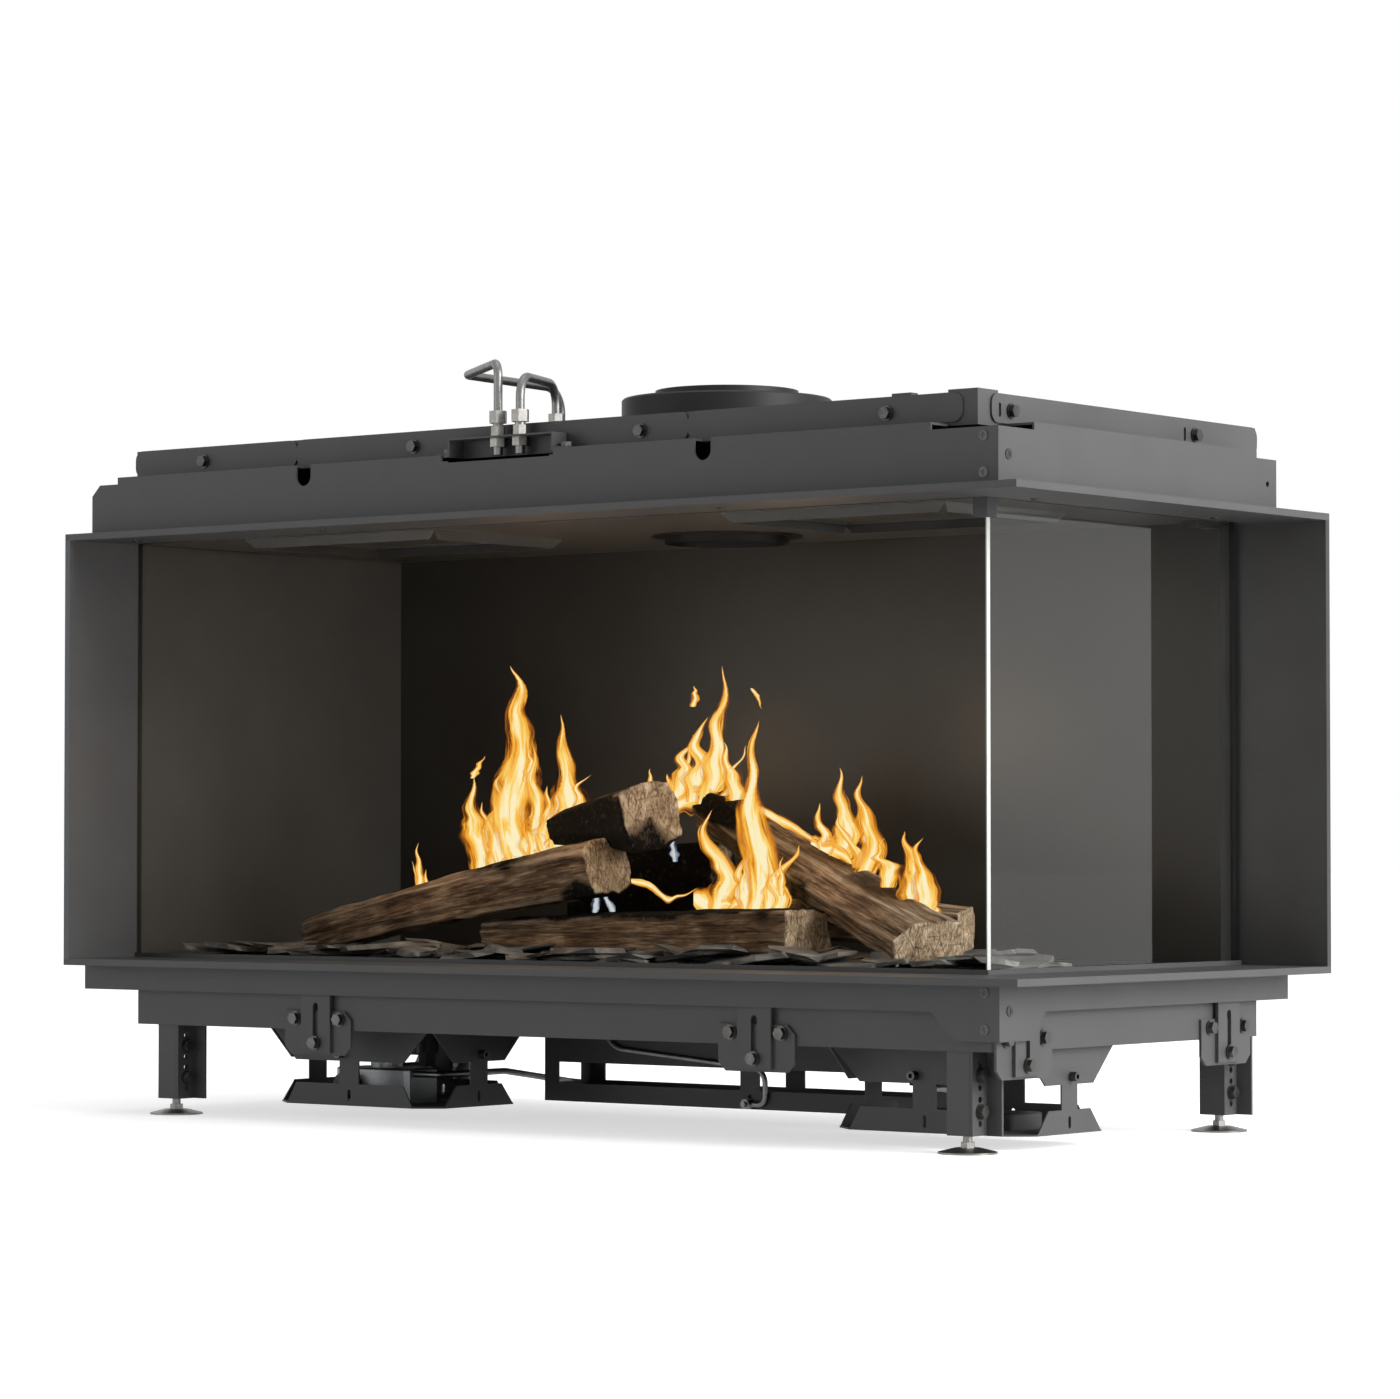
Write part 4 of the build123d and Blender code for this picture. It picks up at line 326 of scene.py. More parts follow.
def gas_flame(name, glow, strength, solid):
    made, tree, skin = material(name)
    uv = node(tree, "ShaderNodeUVMap", uv_map="flame").outputs["UV"]
    parts = node(tree, "ShaderNodeSeparateXYZ", {"Vector": uv}).outputs
    away = sums(tree, "ABSOLUTE", sums(tree, "MULTIPLY_ADD", parts[0], 2.0, -1.0))
    counted = {"Vector": uv, "Scale": (strands_wide, strands_long, 1)}
    wide = node(tree, "ShaderNodeMapping", counted).outputs[0]
    drift = vectors(tree, "MULTIPLY", object_spot(tree), [drift_per_metre] * 3)[0]
    place = vectors(tree, "ADD", wide, drift)[0]
    curl = {"Vector": place, "Scale": strand_scale, "Detail": 4.0, "Distortion": 0.7}
    strand = node(tree, "ShaderNodeTexNoise", curl).outputs["Fac"]

    # Heat falls off from the middle line to the rims and from base to tip
    inside = sums(tree, "SUBTRACT", 1.0, away)
    heat = sums(tree, "MULTIPLY_ADD", strand, 1.7, inside)
    left = sums(tree, "SUBTRACT", heat, spread(tree, parts[1], (0, 1), (0.62, 1)))
    colour = ramp(tree, left, list(zip((0.06, 0.24, 0.46, 0.72, 0.95), glow)))
    cover = spread(tree, left, (0.02, 0.62), (0, solid), interpolation_type="SMOOTHSTEP")
    light = node(tree, "ShaderNodeEmission", {"Color": colour, "Strength": strength}).outputs[0]
    air = node(tree, "ShaderNodeBsdfTransparent").outputs[0]
    surface(tree, mix_shaders(tree, cover, air, light))
    tree.nodes.remove(skin)
    return made


casing_coat = powder_coat("charcoal_powder_coat", ("#444445", "#4a4a4b"), 0.5, 0.3)
lining_coat = powder_coat("chamber_lining_paint", ("#353536", "#3c3d3e"), 0.3, 0.22, 0.04)
wall_coat = powder_coat("chamber_wall_paint", ("#525356", "#585a5c"), 0.36, 0.25, 0.04)
flue_paint = powder_coat("black_heat_paint", ("#1a1a1b", "#222223"), 0.5, 0.25)
bright_zinc = zinc_plate("bright_zinc_plate", ("#6f6e6b", "#85837f"), 0.36)
screw_zinc = zinc_plate("grey_zinc_screw", ("#4a4948", "#5c5b59"), 0.4)
dark_zinc = zinc_plate("black_zinc_screw", ("#434342", "#504f4e"), 0.42)
dull_zinc = zinc_plate("dull_zinc_tube", ("#6c6c6b", "#7c7c7a"), 0.38)
valve_cast = die_cast("valve_die_cast")
knob_plastic = moulded_plastic("knob_moulded_black")
bark = log_skin("split_oak_side", ("#a8947f", "#d0bfaa"), ("#41342a", "#7c6957"), 2.2, 12.0, 0.1)
cut_wood = log_skin("split_oak_end", ("#cfbca3", "#ecdfca"), ("#5a4b3e", "#a38e78"), 1.9, 2.4, 0.04)
slate = split_slate("split_slate")
yellow_glow = ("#8a4316", "#d87c20", "#f7ab36", "#ffd772", "#fff3c8")
blue_glow = ("#16233f", "#4d6a96", "#9fb6d2", "#dfe8f2", "#ffffff")
yellow_flame = gas_flame("yellow_gas_flame", yellow_glow, 1.15, 0.94)
blue_flame = gas_flame("blue_gas_flame", blue_glow, 0.9, 0.6)

# Finishes of the CAD pieces
finish_of_slot = {
    "powder_coated_steel": casing_coat,
    "zinc_plated_steel": bright_zinc,
    "heat_resistant_steel": flue_paint,
    "cast_aluminium": valve_cast,
    "black_plastic": knob_plastic,
    "ceramic_log": bark,
    "slate": slate,
}
own_finish = {
    "back_liner": lining_coat,
    "left_wall": wall_coat,
    "ceiling_panel": wall_coat,
    "relief_frames": wall_coat,
    "back_wall": lining_coat,
    "burner_pan": lining_coat,
    "casing_screws": dark_zinc,
    "glass_clips": lining_coat,
    "frame_screws": screw_zinc,
    "cradle_studs": screw_zinc,
    "test_tubes": dull_zinc,
    "gas_tubes": dull_zinc,
    "front_glass": pane_glass("front_pane_glass", 0, 1.0, 0.06),
    "side_glass": pane_glass("side_pane_glass", 1, -1.0, 0.0),
}
for piece in frame["record"]["subparts"]:
    name = piece["node"]
    paint = own_finish.get(name) or finish_of_slot.get(piece["material_slot"])
    skins = frame["nodes"][name].data.materials
    skins.clear()
    skins.append(paint)


def finished(name, points, faces, paints, smooth=True):
    """A mesh object at the origin with its material slots."""
    mesh = bpy.data.meshes.new(name)
    mesh.from_pydata(points, [], faces)
    for paint in paints:
        mesh.materials.append(paint)
    for face in mesh.polygons:
        face.use_smooth = smooth
    piece = bpy.data.objects.new(name, mesh)
    bpy.context.scene.collection.objects.link(piece)
    return piece


# Log set. ends: middle, half width and half height at each end in millimetres; turn: how far the section is
# rolled there, in degrees; bow: how far the middle is raised, in millimetres; seed: where its noise starts;
# corners: the split section, with its half width and half height as 1, counted round from the rear side;
# burnt: place along the log from 0 to 1, facing angle, reach along and strength of each charred patch
logs = {
    "front_log": dict(
        node="log_front", ends=((-214, -9, 168, 18, 16.5), (202, -68, 176, 29, 23.5)),
        turn=(2, -4), bow=2, seed=3,
        corners=((1, -0.2), (0.9, 0.95), (-0.2, 1), (-0.95, 0.85), (-1, -0.8), (-0.4, -1), (0.9, -0.9)),
        burnt=((0.55, 66, 0.75, 1.0), (0.93, 120, 0.12, 0.55), (0.1, 250, 0.2, 0.45))),
    "left_log": dict(
        node="log_left", ends=((-466, 14, 164.5, 18, 17), (-45, -45, 236, 27.5, 27)),
        turn=(4, 10), bow=4, seed=11,
        corners=((1, 0.3), (0.8, 0.95), (-0.7, 1), (-1, 0.75), (-0.95, -0.85), (0.2, -1), (0.95, -0.8)),
        burnt=((0.7, 90, 0.45, 0.5), (0.96, 265, 0.12, 0.7), (0.5, 260, 0.5, 0.4))),
    "top_log": dict(
        node="log_top", ends=((-162, 32, 270.5, 18, 15), (4, -45, 282, 31, 32)),
        turn=(8, 12), bow=1, seed=21,
        corners=((1, 0.1), (0.85, 0.9), (0.1, 1), (-0.9, 0.8), (-1, -0.1), (-0.75, -0.9), (0.3, -1),
                 (0.95, -0.7)),
        burnt=((0.35, 185, 1.0, 1.0), (0.8, 250, 0.7, 0.95), (0.1, 90, 0.3, 0.9), (0.5, 60, 0.2, 0.5))),
    "right_log": dict(
        node="log_right", ends=((-24, 88, 292, 22, 20), (338, -74, 170.5, 38, 19)),
        turn=(18, 6), bow=-3, seed=35,
        corners=((1, 0.2), (0.75, 0.9), (-0.35, 1), (-1, 0.35), (-0.9, -0.8), (0.1, -1), (0.9, -0.85)),
        burnt=((0.05, 90, 0.26, 1.0), (0.4, 200, 0.5, 0.5), (0.75, 60, 0.2, 0.5))),
    "far_log": dict(
        node="logs_back", ends=((125, 6, 189, 20, 18), (292, 47, 178, 24, 20)),
        turn=(0, 8), bow=1, seed=41,
        corners=((1, 0.1), (0.8, 0.95), (-0.8, 1), (-1, -0.7), (0.1, -1), (0.9, -0.9)),
        burnt=((0.2, 120, 0.3, 0.5),)),
    "charred_log": dict(
        node="logs_back", ends=((-172, 72, 203, 26, 48), (-8, 84, 208, 26, 52)),
        turn=(0, 5), bow=1, seed=52,
        corners=((1, 0.1), (0.7, 0.9), (-0.6, 1), (-1, 0.4), (-0.9, -0.9), (0.8, -1)),
        burnt=((0.5, 0, 3.0, 1.0), (0.5, 180, 3.0, 1.0))),
}
log_rings = 110
log_sides = 72
cap_rings = 9


# Surface of a log: how often each form comes in a metre of length, how wide it is round the log, and how high
# it stands. Bends and lumps are shares of the section, grooves and fibres are metres.
bend_rate, bend_width, bend_height = 9, 0.8, 0.05
lump_rate, lump_width, lump_height = 26, 1.6, 0.045
groove_rate, groove_width, groove_height = 11, 0.009, 0.0021
fibre_rate, fibre_width, fibre_height = 30, 0.0035, 0.001

# Cut ends: how far they crown and how deep they are chipped, in metres, and how often chips come round them
crown_height = 0.0014
chip_depth = 0.0016
chip_rate = 0.19

# How far from a corner the section is painted pale, as a highlight on the corners, as a share of its half
# width, and how wide round the log a burnt patch is, in degrees. On the cut ends the char is weaker.
highlight_reach = 0.16
burnt_width = 75
burnt_on_end = 0.6


def mixed(a, b, share):
    return a + (b - a) * share


def section(corners):
    """Points evenly round a split section, its corners a little rounded, and how near each is to a corner."""
    corners = [Vector(c) for c in corners]
    runs = [(b - a).length for a, b in zip(corners, corners[1:] + corners[:1])]
    points, near = [], []
    for k in range(log_sides):
        gone = sum(runs) * k / log_sides
        side = 0
        while gone > runs[side]:
            gone -= runs[side]
            side += 1
        a, b = corners[side], corners[(side + 1) % len(corners)]
        points.append(a.lerp(b, gone / runs[side]))
        near.append(max(0.0, 1 - min(gone, runs[side] - gone) / highlight_reach))
    count = len(points)
    rounded = [(points[k - 1] + 2 * points[k] + points[(k + 1) % count]) / 4 for k in range(count)]
    return rounded, near


def log_piece(name, spec):
    """One split log: a rolled, boxy section with grain ridges along it, and rough cut ends."""
    start, end = (Vector(e[:3]) * MM for e in spec["ends"])
    (w0, h0), (w1, h1) = (Vector(e[3:]) * MM for e in spec["ends"])
    run = end - start
    length = run.length
    along = run.normalized()
    side = Vector((0, 0, 1)).cross(along).normalized()
    up = along.cross(side)
    outline, corner_share = section(spec["corners"])
    seed = spec["seed"] * 3.7
    girth = 4 * (w0 + w1 + h0 + h1) / 2
    points, faces, slots, uvs, marks = [], [], [], [], []

    def rim(t, k, shrink=1.0, push=0.0):
        """The point at share t of the length and step k round the log, drawn inwards and pushed along."""
        w, h = mixed(w0, w1, t), mixed(h0, h1, t)
        x, y = outline[k]
        gone, round_log = t * length, k / log_sides * girth
        bend = noise.noise((seed + gone * bend_rate, x * bend_width, y * bend_width))
        lump = noise.noise((seed + gone * lump_rate, x * lump_width + 9, y * lump_width))
        groove = noise.noise((seed + gone * groove_rate, round_log / groove_width, 3))
        fibre = noise.noise((seed + gone * fibre_rate, round_log / fibre_width, 5))
        size = 1 + bend_height * bend + lump_height * lump
        grow = (groove_height * groove + fibre_height * fibre) * min(1, shrink * 3)
        x, y = x * (w * size + grow) * shrink, y * (h * size + grow) * shrink
        roll = math.radians(mixed(*spec["turn"], t))
        x, y = x * math.cos(roll) - y * math.sin(roll), x * math.sin(roll) + y * math.cos(roll)
        sag = spec["bow"] * MM * 4 * t * (1 - t)
        return start + run * t + along * push + side * x + up * (y + sag)

    def char_at(t, k):
        angle = math.degrees(math.atan2(outline[k].y, outline[k].x))
        best = 0.0
        for place, facing, reach, strength in spec["burnt"]:
            turned = abs((angle - facing + 180) % 360 - 180) / burnt_width
            gone = abs(t - place) / reach
            best = max(best, strength * max(0.0, 1 - gone ** 2) * max(0.0, 1 - 0.5 * turned ** 2))
        return best

    for i in range(log_rings + 1):
        t = i / log_rings
        for k in range(log_sides):
            points.append(rim(t, k))
            marks.append((char_at(t, k), corner_share[k]))
    for i in range(log_rings):
        for k in range(log_sides):
            m = (k + 1) % log_sides
            a, b = i * log_sides, (i + 1) * log_sides
            faces.append((a + k, a + m, b + m, b + k))
            slots.append(0)
            u0, u1 = i / log_rings * length, (i + 1) / log_rings * length
            v0, v1 = k / log_sides * girth, (k + 1) / log_sides * girth
            uvs += [(u0, v0), (u0, v1), (u1, v1), (u1, v0)]
    for t, first, out in ((0, 0, -1), (1, log_rings * log_sides, 1)):
        ring = list(range(first, first + log_sides))
        for j in range(1, cap_rings + 1):
            shrink = 1 - j / (cap_rings + 0.3)
            fresh = []
            for k in range(log_sides):
                chip = noise.noise((seed + 40 * shrink, k * chip_rate + out, 7 * shrink))
                crown = crown_height * (1 - shrink ** 4) + chip_depth * chip
                fresh.append(len(points))
                points.append(rim(t, k, shrink, out * crown))
                # On the cut ends the painted highlight of the corners is kept to the rim
                marks.append((char_at(t, k) * burnt_on_end, corner_share[k] * max(0, 4 * shrink - 3)))
            for k in range(log_sides):
                m = (k + 1) % log_sides
                quad = (ring[k], ring[m], fresh[m], fresh[k])
                faces.append(quad if out > 0 else quad[::-1])
                slots.append(1)
                uvs += [((points[q] - start).dot(up), (points[q] - start).dot(side)) for q in faces[-1]]
            ring = fresh
        hub = len(points)
        points.append(rim(t, 0, 0.0, out * crown_height))
        marks.append((0.0, 0.0))
        for k in range(log_sides):
            m = (k + 1) % log_sides
            tri = (ring[k], ring[m], hub)
            faces.append(tri if out > 0 else tri[::-1])
            slots.append(1)
            uvs += [((points[q] - start).dot(up), (points[q] - start).dot(side)) for q in faces[-1]]
    piece = finished(name, points, faces, [bark, cut_wood])
    mesh = piece.data
    layer = mesh.uv_layers.new(name="grain")
    for corner, spot in zip(layer.data, uvs):
        corner.uv = spot
    for face, index in zip(mesh.polygons, slots):
        face.material_index = index
    # marks: char in red, and the painted highlight on the corners in green
    tint = mesh.color_attributes.new(name="marks", type="FLOAT_COLOR", domain="POINT")
    for spot, (char, ridge_highlight) in zip(tint.data, marks):
        spot.color = (char, ridge_highlight, 0, 1)
    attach(piece, "casing")
    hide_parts(spec["node"])


for name, spec in logs.items():
    log_piece(name, spec)


# Slate bed: flakes scattered over the pan by a node tree, dropped flat with a little tilt. The flakes' tilt is
# in radians, their sizes are shares of the flake as given, and their edges are bitten by noise, in metres.
flake_tilt = 0.16
full_turn = 6.28
smallest_flake = (0.55, 0.35, 0.5)
largest_flake = (1.5, 0.95, 1.2)
bite_scale = 60.0
bite_size = (0.05, 0.05, 0.004)


def slate_tree():
    tree = bpy.data.node_groups.new("slate_scatter", "GeometryNodeTree")
    sockets = (
        ("Bed", "Geometry"), ("Spacing", "Float"), ("Density", "Float"), ("Seed", "Int"),
        ("Flake Radius", "Float"), ("Flake Thickness", "Float"), ("Pile Height", "Float"),
        ("Finish", "Material"),
    )
    for title, kind in sockets:
        tree.interface.new_socket(title, in_out="INPUT", socket_type="NodeSocket" + kind)
    tree.interface.new_socket("Flakes", in_out="OUTPUT", socket_type="NodeSocketGeometry")
    given = node(tree, "NodeGroupInput").outputs
    points = node(tree, "GeometryNodeDistributePointsOnFaces", {
        "Mesh": given["Bed"], "Distance Min": given["Spacing"],
        "Density Max": given["Density"], "Seed": given["Seed"],
    }, distribute_method="POISSON")
    flake = node(tree, "GeometryNodeMeshCylinder", {
        "Vertices": 8, "Side Segments": 1, "Radius": given["Flake Radius"], "Depth": given["Flake Thickness"],
    }, fill_type="NGON")
    spin = node(tree, "FunctionNodeRandomValue", {
        0: (-flake_tilt, -flake_tilt, 0.0), 1: (flake_tilt, flake_tilt, full_turn), "Seed": given["Seed"],
    }, data_type="FLOAT_VECTOR")
    size = node(tree, "FunctionNodeRandomValue", {
        0: smallest_flake, 1: largest_flake, "Seed": 7,
    }, data_type="FLOAT_VECTOR")
    rise = node(tree, "FunctionNodeRandomValue", {
        2: 0.0, 3: given["Pile Height"], "Seed": 11,
    }, data_type="FLOAT")
    lift = node(tree, "ShaderNodeCombineXYZ", {"Z": rise.outputs[1]})
    lifted = node(tree, "GeometryNodeSetPosition", {
        "Geometry": points.outputs["Points"], "Offset": lift.outputs[0],
    })
    copies = node(tree, "GeometryNodeInstanceOnPoints", {
        "Points": lifted.outputs[0], "Instance": flake.outputs["Mesh"],
        "Rotation": spin.outputs[0], "Scale": size.outputs[0],
    })
    real = node(tree, "GeometryNodeRealizeInstances", {"Geometry": copies.outputs[0]})
    spot = node(tree, "GeometryNodeInputPosition")
    chip = node(tree, "ShaderNodeTexNoise", {"Vector": spot.outputs[0], "Scale": bite_scale, "Detail": 1.0})
    centred = vectors(tree, "SUBTRACT", chip.outputs["Color"], (0.5, 0.5, 0.5))[0]
    bite = vectors(tree, "MULTIPLY", centred, bite_size)[0]
    broken = node(tree, "GeometryNodeSetPosition", {"Geometry": real.outputs[0], "Offset": bite})
    flat = node(tree, "GeometryNodeSetShadeSmooth", {"Geometry": broken.outputs[0], "Shade Smooth": False})
    dressed = node(tree, "GeometryNodeSetMaterial", {
        "Geometry": flat.outputs[0], "Material": given["Finish"],
    })
    node(tree, "NodeGroupOutput", {"Flakes": dressed.outputs[0]})
    return tree


pan_low, pan_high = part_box("slate_chips")
bed_inset = 0.022
bed_rise = 0.006
bed_x0, bed_x1 = pan_low.x + bed_inset, pan_high.x - bed_inset
bed_y0, bed_y1 = pan_low.y + bed_inset, pan_high.y - bed_inset
bed_corners = [(x, y, pan_low.z + bed_rise) for x, y in (
    (bed_x0, bed_y0), (bed_x1, bed_y0), (bed_x1, bed_y1), (bed_x0, bed_y1))]
bed = finished("slate_bed_outline", bed_corners, [(0, 1, 2, 3)], [])
scatter = bed.modifiers.new("scatter", "NODES")
scatter.node_group = slate_tree()
wanted = {
    "Spacing": 0.019, "Density": 2600.0, "Seed": 4, "Flake Radius": 0.03,
    "Flake Thickness": 0.0045, "Pile Height": 0.011, "Finish": slate,
}
for socket in scatter.node_group.interface.items_tree:
    if socket.name in wanted:
        scatter[socket.identifier] = wanted[socket.name]
grown = bpy.data.meshes.new_from_object(bed.evaluated_get(bpy.context.evaluated_depsgraph_get()))
grown.name = "slate_flakes"
flakes = bpy.data.objects.new("slate_flakes", grown)
bpy.context.scene.collection.objects.link(flakes)
bpy.data.objects.remove(bed)
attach(flakes, "casing")
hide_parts("slate_chips")

# Flames: the middle line from base to tip in millimetres, and the greatest width
flames = {
    "far_left": [
        ((-342, 30, 201), (-344, 30, 230), (-346, 30, 258), 11),
        ((-334, 30, 203), (-333, 30, 216), (-338, 30, 232), 9),
    ],
    "left": [
        ((-262, 30, 226), (-266, 30, 262), (-278, 30, 286), (-272, 30, 322), 34),
        ((-216, 30, 236), (-229, 30, 290), (-214, 30, 340), (-222, 30, 388), (-224, 30, 428), 46),
        ((-197, 30, 244), (-192, 30, 280), (-201, 30, 312), (-196, 30, 352), 26),
        ((-238, 30, 234), (-244, 30, 276), (-236, 30, 300), (-238, 30, 330), 28),
        ((-180, 30, 246), (-186, 30, 268), (-176, 30, 290), (-184, 30, 312), 24),
        ((-170, 30, 250), (-148, 30, 286), (-158, 30, 330), (-149, 30, 380), 34),
        ((-158, 30, 256), (-136, 30, 280), (-140, 30, 300), (-128, 30, 322), 26),
        ((-336, 30, 214), (-300, 30, 219), (-262, 30, 226), (-228, 30, 248), 15),
        ((-262, 30, 222), (-216, 30, 236), (-162, 30, 264), 34),
        ((-276, 30, 320), (-268, 30, 330), (-260, 30, 342), 9),
        ((-207, 30, 316), (-202, 30, 332), (-207, 30, 350), 13),
    ],
    "centre": [
        ((-63, 40, 302), (-62, 40, 312), (-64, 40, 328), 11),
        ((-58, 70, 294), (-44, 70, 320), (-46, 70, 336), (-37, 70, 360), 26),
        ((-35, 70, 296), (-26, 70, 326), (-28, 70, 350), (-20, 70, 376), 28),
        ((-22, 70, 294), (-4, 70, 330), (-8, 70, 368), (5, 70, 424), 30),
        ((13, 70, 276), (16, 70, 306), (6, 70, 328), (9, 70, 352), 26),
        ((-62, 70, 292), (-20, 70, 300), (24, 70, 290), 28),
        ((122, -40, 188), (130, -40, 236), (114, -40, 288), (124, -40, 328), (126, -40, 368), 32),
        ((138, -40, 196), (142, -40, 220), (136, -40, 256), 18),
        ((152, -40, 210), (151, -40, 226), (153, -40, 246), 8),
        ((48, 0, 192), (60, 0, 222), (44, 0, 250), (44, 0, 288), 34),
        ((-54, 0, 222), (-30, 0, 217), (-12, 0, 206), (4, 0, 209), (26, 0, 216), 9),
        ((20, 0, 206), (50, 0, 200), (86, 0, 198), 28),
        ((98, -20, 196), (96, -20, 226), (104, -20, 252), 20),
        ((-36, 70, 386), (-32, 70, 396), (-35, 70, 406), 9),
        ((34, 70, 402), (41, 70, 394), (47, 70, 382), 6),
    ],
    "right": [
        ((62, 40, 290), (90, 34, 280), (118, 26, 271), (150, 18, 257), (196, 8, 243), 12),
        ((140, 20, 256), (178, 10, 246), (216, 0, 230), 28),
        ((152, 20, 242), (160, 20, 262), (151, 20, 276), (154, 20, 294), 18),
        ((170, 20, 236), (184, 20, 268), (174, 20, 296), (176, 20, 326), 31),
        ((212, 0, 222), (224, 0, 256), (212, 0, 288), (208, 0, 318), 27),
        ((284, -30, 186), (294, -30, 216), (280, -30, 242), (278, -30, 268), 30),
        ((298, -30, 184), (304, -30, 216), (296, -30, 240), (300, -30, 262), 24),
        ((262, -30, 218), (264, -30, 236), (254, -30, 246), (258, -30, 262), 22),
        ((228, -10, 222), (246, -20, 208), (272, -30, 206), 14),
    ],
    "under_logs": [
        ((-98, 0, 192), (-96, 0, 203), (-92, 0, 217), 9),
        ((-76, 0, 192), (-82, 0, 204), (-84, 0, 218), 9),
        ((-2, 0, 240), (-4, 0, 254), (-7, 0, 266), 9),
    ],
}
flame_steps = 32

# How far the two veils of a tongue turn from its middle plane, and how wide the second one is
veil_turn = 0.45
veil_widths = (1.0, 0.85)

# A tongue taller than this, in millimetres, gets a slighter one beside it
tall_tongue = 50


def on_curve(points, t):
    """A point on the smooth curve through these points."""
    padded = [points[0] * 2 - points[1]] + points + [points[-1] * 2 - points[-2]]
    whole = t * (len(points) - 1)
    i = min(int(whole), len(points) - 2)
    f = whole - i
    a, b, c, d = padded[i:i + 4]
    bent, twisted = 2 * a - 5 * b + 4 * c - d, 3 * b - a - 3 * c + d
    return 0.5 * (2 * b + (c - a) * f + bent * f * f + twisted * f ** 3)


def slighter_tongues(tongues, drawn):
    """A lower, narrower tongue to the one or the other side of each tall one."""
    beside = []
    for *line, width in tongues:
        if line[-1][2] - line[0][2] > tall_tongue:
            tall, shift = drawn.uniform(0.35, 0.7), drawn.choice((-1, 1)) * drawn.uniform(0.25, 0.45) * width
            foot = line[0][2]
            moved = [
                (x + shift * (1 + 0.6 * i), y + 3, foot + (z - foot) * tall)
                for i, (x, y, z) in enumerate(line)
            ]
            beside.append([*moved, width * drawn.uniform(0.4, 0.65)])
    return beside


def half_width(t, number, turn):
    """Half width of a veil at share t of its height, as a share of the tongue's half width."""
    swell = 0.5 + 0.5 * math.sin(math.pi * min(0.5, t * 1.6))
    taper = 1 - max(0.0, t - 0.3) ** 1.35 / 0.7 ** 1.35
    ripple = 1 + 0.55 * noise.noise((number * 3.1, t * 6.5, turn + 4.0))
    return swell * taper * ripple * veil_widths[turn]


def flame_sheets(name, tongues, paint):
    """Tongues of flame, each as two veils that cross on its middle line."""
    points, faces, uvs = [], [], []
    beside = slighter_tongues(tongues, random.Random(len(name)))
    for number, (*line, width) in enumerate(tongues + beside):
        line = [Vector(p) * MM for p in line]
        width = width * MM
        upright = abs((line[-1] - line[0]).normalized().z) > 0.5
        flat = across if upright else Vector((0, 0, 1))
        for turn, reach in enumerate((flat + depth * veil_turn, flat - depth * veil_turn)):
            first = len(points)
            for i in range(flame_steps + 1):
                t = i / flame_steps
                half = width / 2 * half_width(t, number, turn)
                sway = noise.noise((number * 5.3, t * 4.2, len(name)))
                middle = on_curve(line, t) + flat * sway * width * 0.5 * t
                points += [middle - reach * half, middle, middle + reach * half]
                if i:
                    b = first + 3 * i
                    s = (i - 1) / flame_steps
                    for k in (0, 1):
                        faces.append((b - 3 + k, b - 2 + k, b + 1 + k, b + k))
                        uvs += [(k / 2, s), (k / 2 + 0.5, s), (k / 2 + 0.5, t), (k / 2, t)]
    piece = finished(name, points, faces, [paint])
    layer = piece.data.uv_layers.new(name="flame")
    for corner, spot in zip(layer.data, uvs):
        corner.uv = spot
    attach(piece, "casing")


for name, tongues in flames.items():
    flame_sheets("flames_" + name, tongues, blue_flame if name == "under_logs" else yellow_flame)


# Studio: a pale floor that shades softly, and lights up to white for the eye, in mirrors and through glass
floor_size = 30.0
floor_lift = 0.62


def seen_rays(tree):
    """1 for rays from the camera, and for those that come by a mirror or through glass."""
    path = node(tree, "ShaderNodeLightPath").outputs
    seen = sums(tree, "MAXIMUM", path["Is Camera Ray"], path["Is Glossy Ray"])
    return sums(tree, "MAXIMUM", seen, path["Is Transmission Ray"])


made, tree, skin = material("studio_floor")
fill(tree, skin, {"Base Color": linear("#e6e6e6"), "Roughness": 0.9, "Specular IOR Level": 0.0})
lift = sums(tree, "MULTIPLY", seen_rays(tree), floor_lift)
white = node(tree, "ShaderNodeEmission", {"Color": (1, 1, 1, 1), "Strength": lift}).outputs[0]
surface(tree, node(tree, "ShaderNodeAddShader", {0: skin.outputs[0], 1: white}).outputs[0])
floor_corners = [(x * floor_size, y * floor_size, 0) for x, y in ((-1, -1), (1, -1), (1, 1), (-1, 1))]
floor = finished("studio_floor", floor_corners, [(0, 1, 2, 3)], [made])

# Surround: white behind the object, in mirrors and through glass. Matt surfaces get more light from the bright
# side.
world = bpy.data.worlds.new("studio")
bpy.context.scene.world = world
world.use_nodes = True
tree = world.node_tree
tree.nodes.clear()
bright_side = Vector((0.64, 0.76, 0.05)).normalized()
dim_level = 0.17
look = node(tree, "ShaderNodeTexCoord").outputs["Generated"]
facing = vectors(tree, "DOT_PRODUCT", look, bright_side)["Value"]
level = spread(tree, facing, (-0.6, 0.75), (dim_level, 1), interpolation_type="SMOOTHSTEP")
strength = node(tree, "ShaderNodeMix", {0: seen_rays(tree), 2: level, 3: 1.0}).outputs[0]
back = node(tree, "ShaderNodeBackground", {"Color": (1, 1, 1, 1), "Strength": strength}).outputs[0]
node(tree, "ShaderNodeOutputWorld", {"Surface": back})

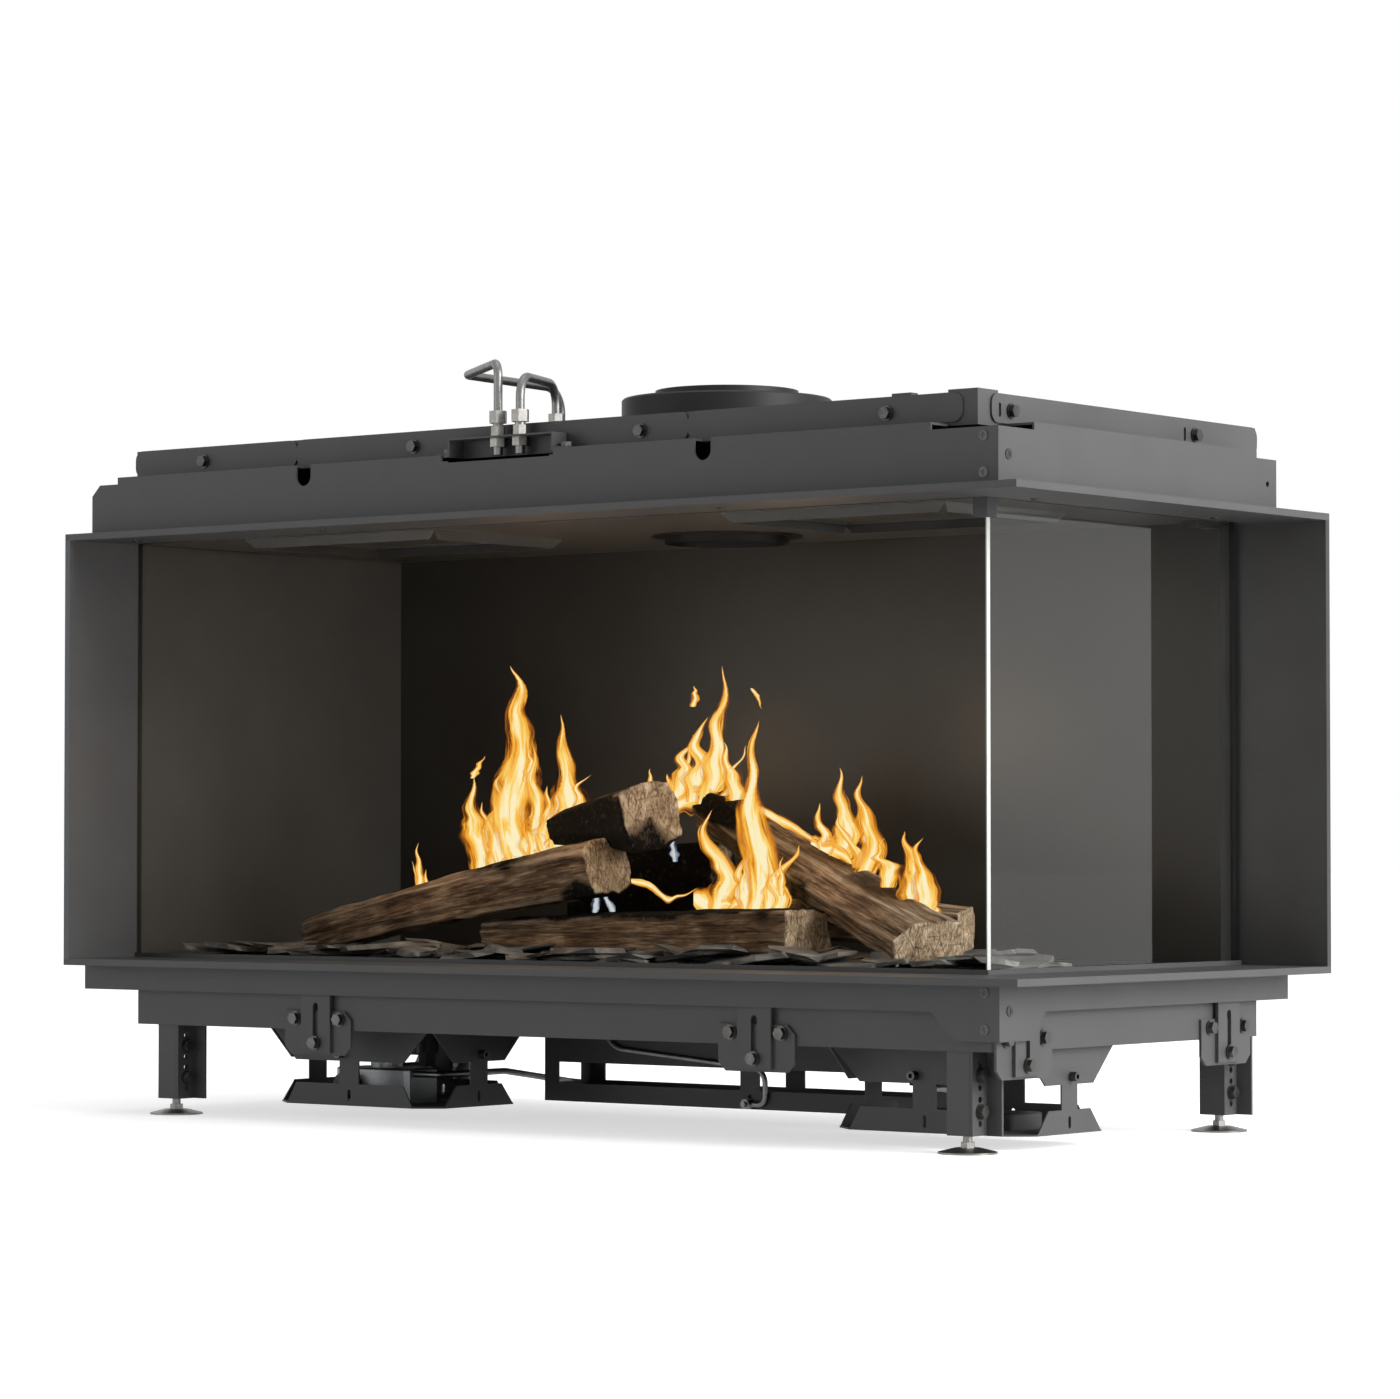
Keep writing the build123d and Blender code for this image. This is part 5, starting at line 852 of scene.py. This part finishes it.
# Soft lights, in metres and watts: the key from the right, a weak one from the front left, and one from above
lamps = {
    "key_right": dict(place=(3.8, 0.4, 1.4), aim=(0.2, 0.0, 0.3), size=2.4, watts=195),
    "fill_left": dict(place=(-2.4, -3.4, 0.25), aim=(-0.2, 0.0, 0.25), size=2.6, watts=30),
    "top_soft": dict(place=(0.0, 0.2, 4.2), aim=(0.0, 0.0, 0.3), size=3.0, watts=30),
}
for name, spec in lamps.items():
    lamp = bpy.data.lights.new(name, "AREA")
    lamp.shape = "SQUARE"
    lamp.size = spec["size"]
    lamp.energy = spec["watts"]
    holder = bpy.data.objects.new(name, lamp)
    holder.location = spec["place"]
    holder.rotation_mode = "QUATERNION"
    holder.rotation_quaternion = (Vector(spec["aim"]) - Vector(spec["place"])).to_track_quat("-Z", "Y")
    holder.visible_camera = False
    bpy.context.scene.collection.objects.link(holder)

# Warm light that the flames throw on the logs and the lining: place in metres and watts
fire_glow = {
    "rear_left": ((-0.2, 0.04, 0.35), 0.2),
    "rear_right": ((0.1, 0.05, 0.37), 0.2),
    "front_left": ((-0.28, -0.11, 0.3), 0.3),
    "front_middle": ((-0.05, -0.12, 0.33), 0.3),
    "front_right": ((0.2, -0.12, 0.3), 0.3),
}
glow_radius = 0.05
for name, (place, watts) in fire_glow.items():
    lamp = bpy.data.lights.new("fire_glow_" + name, "POINT")
    lamp.color = linear("#ffd2a6")[:3]
    lamp.energy = watts
    lamp.shadow_soft_size = glow_radius
    holder = bpy.data.objects.new("fire_glow_" + name, lamp)
    holder.location = place
    holder.visible_camera = False
    holder.visible_glossy = name.startswith("rear")
    bpy.context.scene.collection.objects.link(holder)

# Camera
lens = bpy.data.cameras.new("camera")
lens.lens = camera_lens
lens.sensor_width = sensor_width
lens.clip_end = far_clip
camera = bpy.data.objects.new("camera", lens)
camera.location = Vector(camera_place) * MM
azimuth, elevation = math.radians(camera_azimuth), math.radians(camera_elevation)
level_sight = Vector((-math.sin(azimuth), math.cos(azimuth), 0)) * math.cos(elevation)
sight = level_sight + Vector((0, 0, math.sin(elevation)))
camera.rotation_mode = "QUATERNION"
camera.rotation_quaternion = sight.to_track_quat("-Z", "Y")
bpy.context.scene.collection.objects.link(camera)
bpy.context.scene.camera = camera
bpy.context.scene.view_settings.view_transform = "Standard"
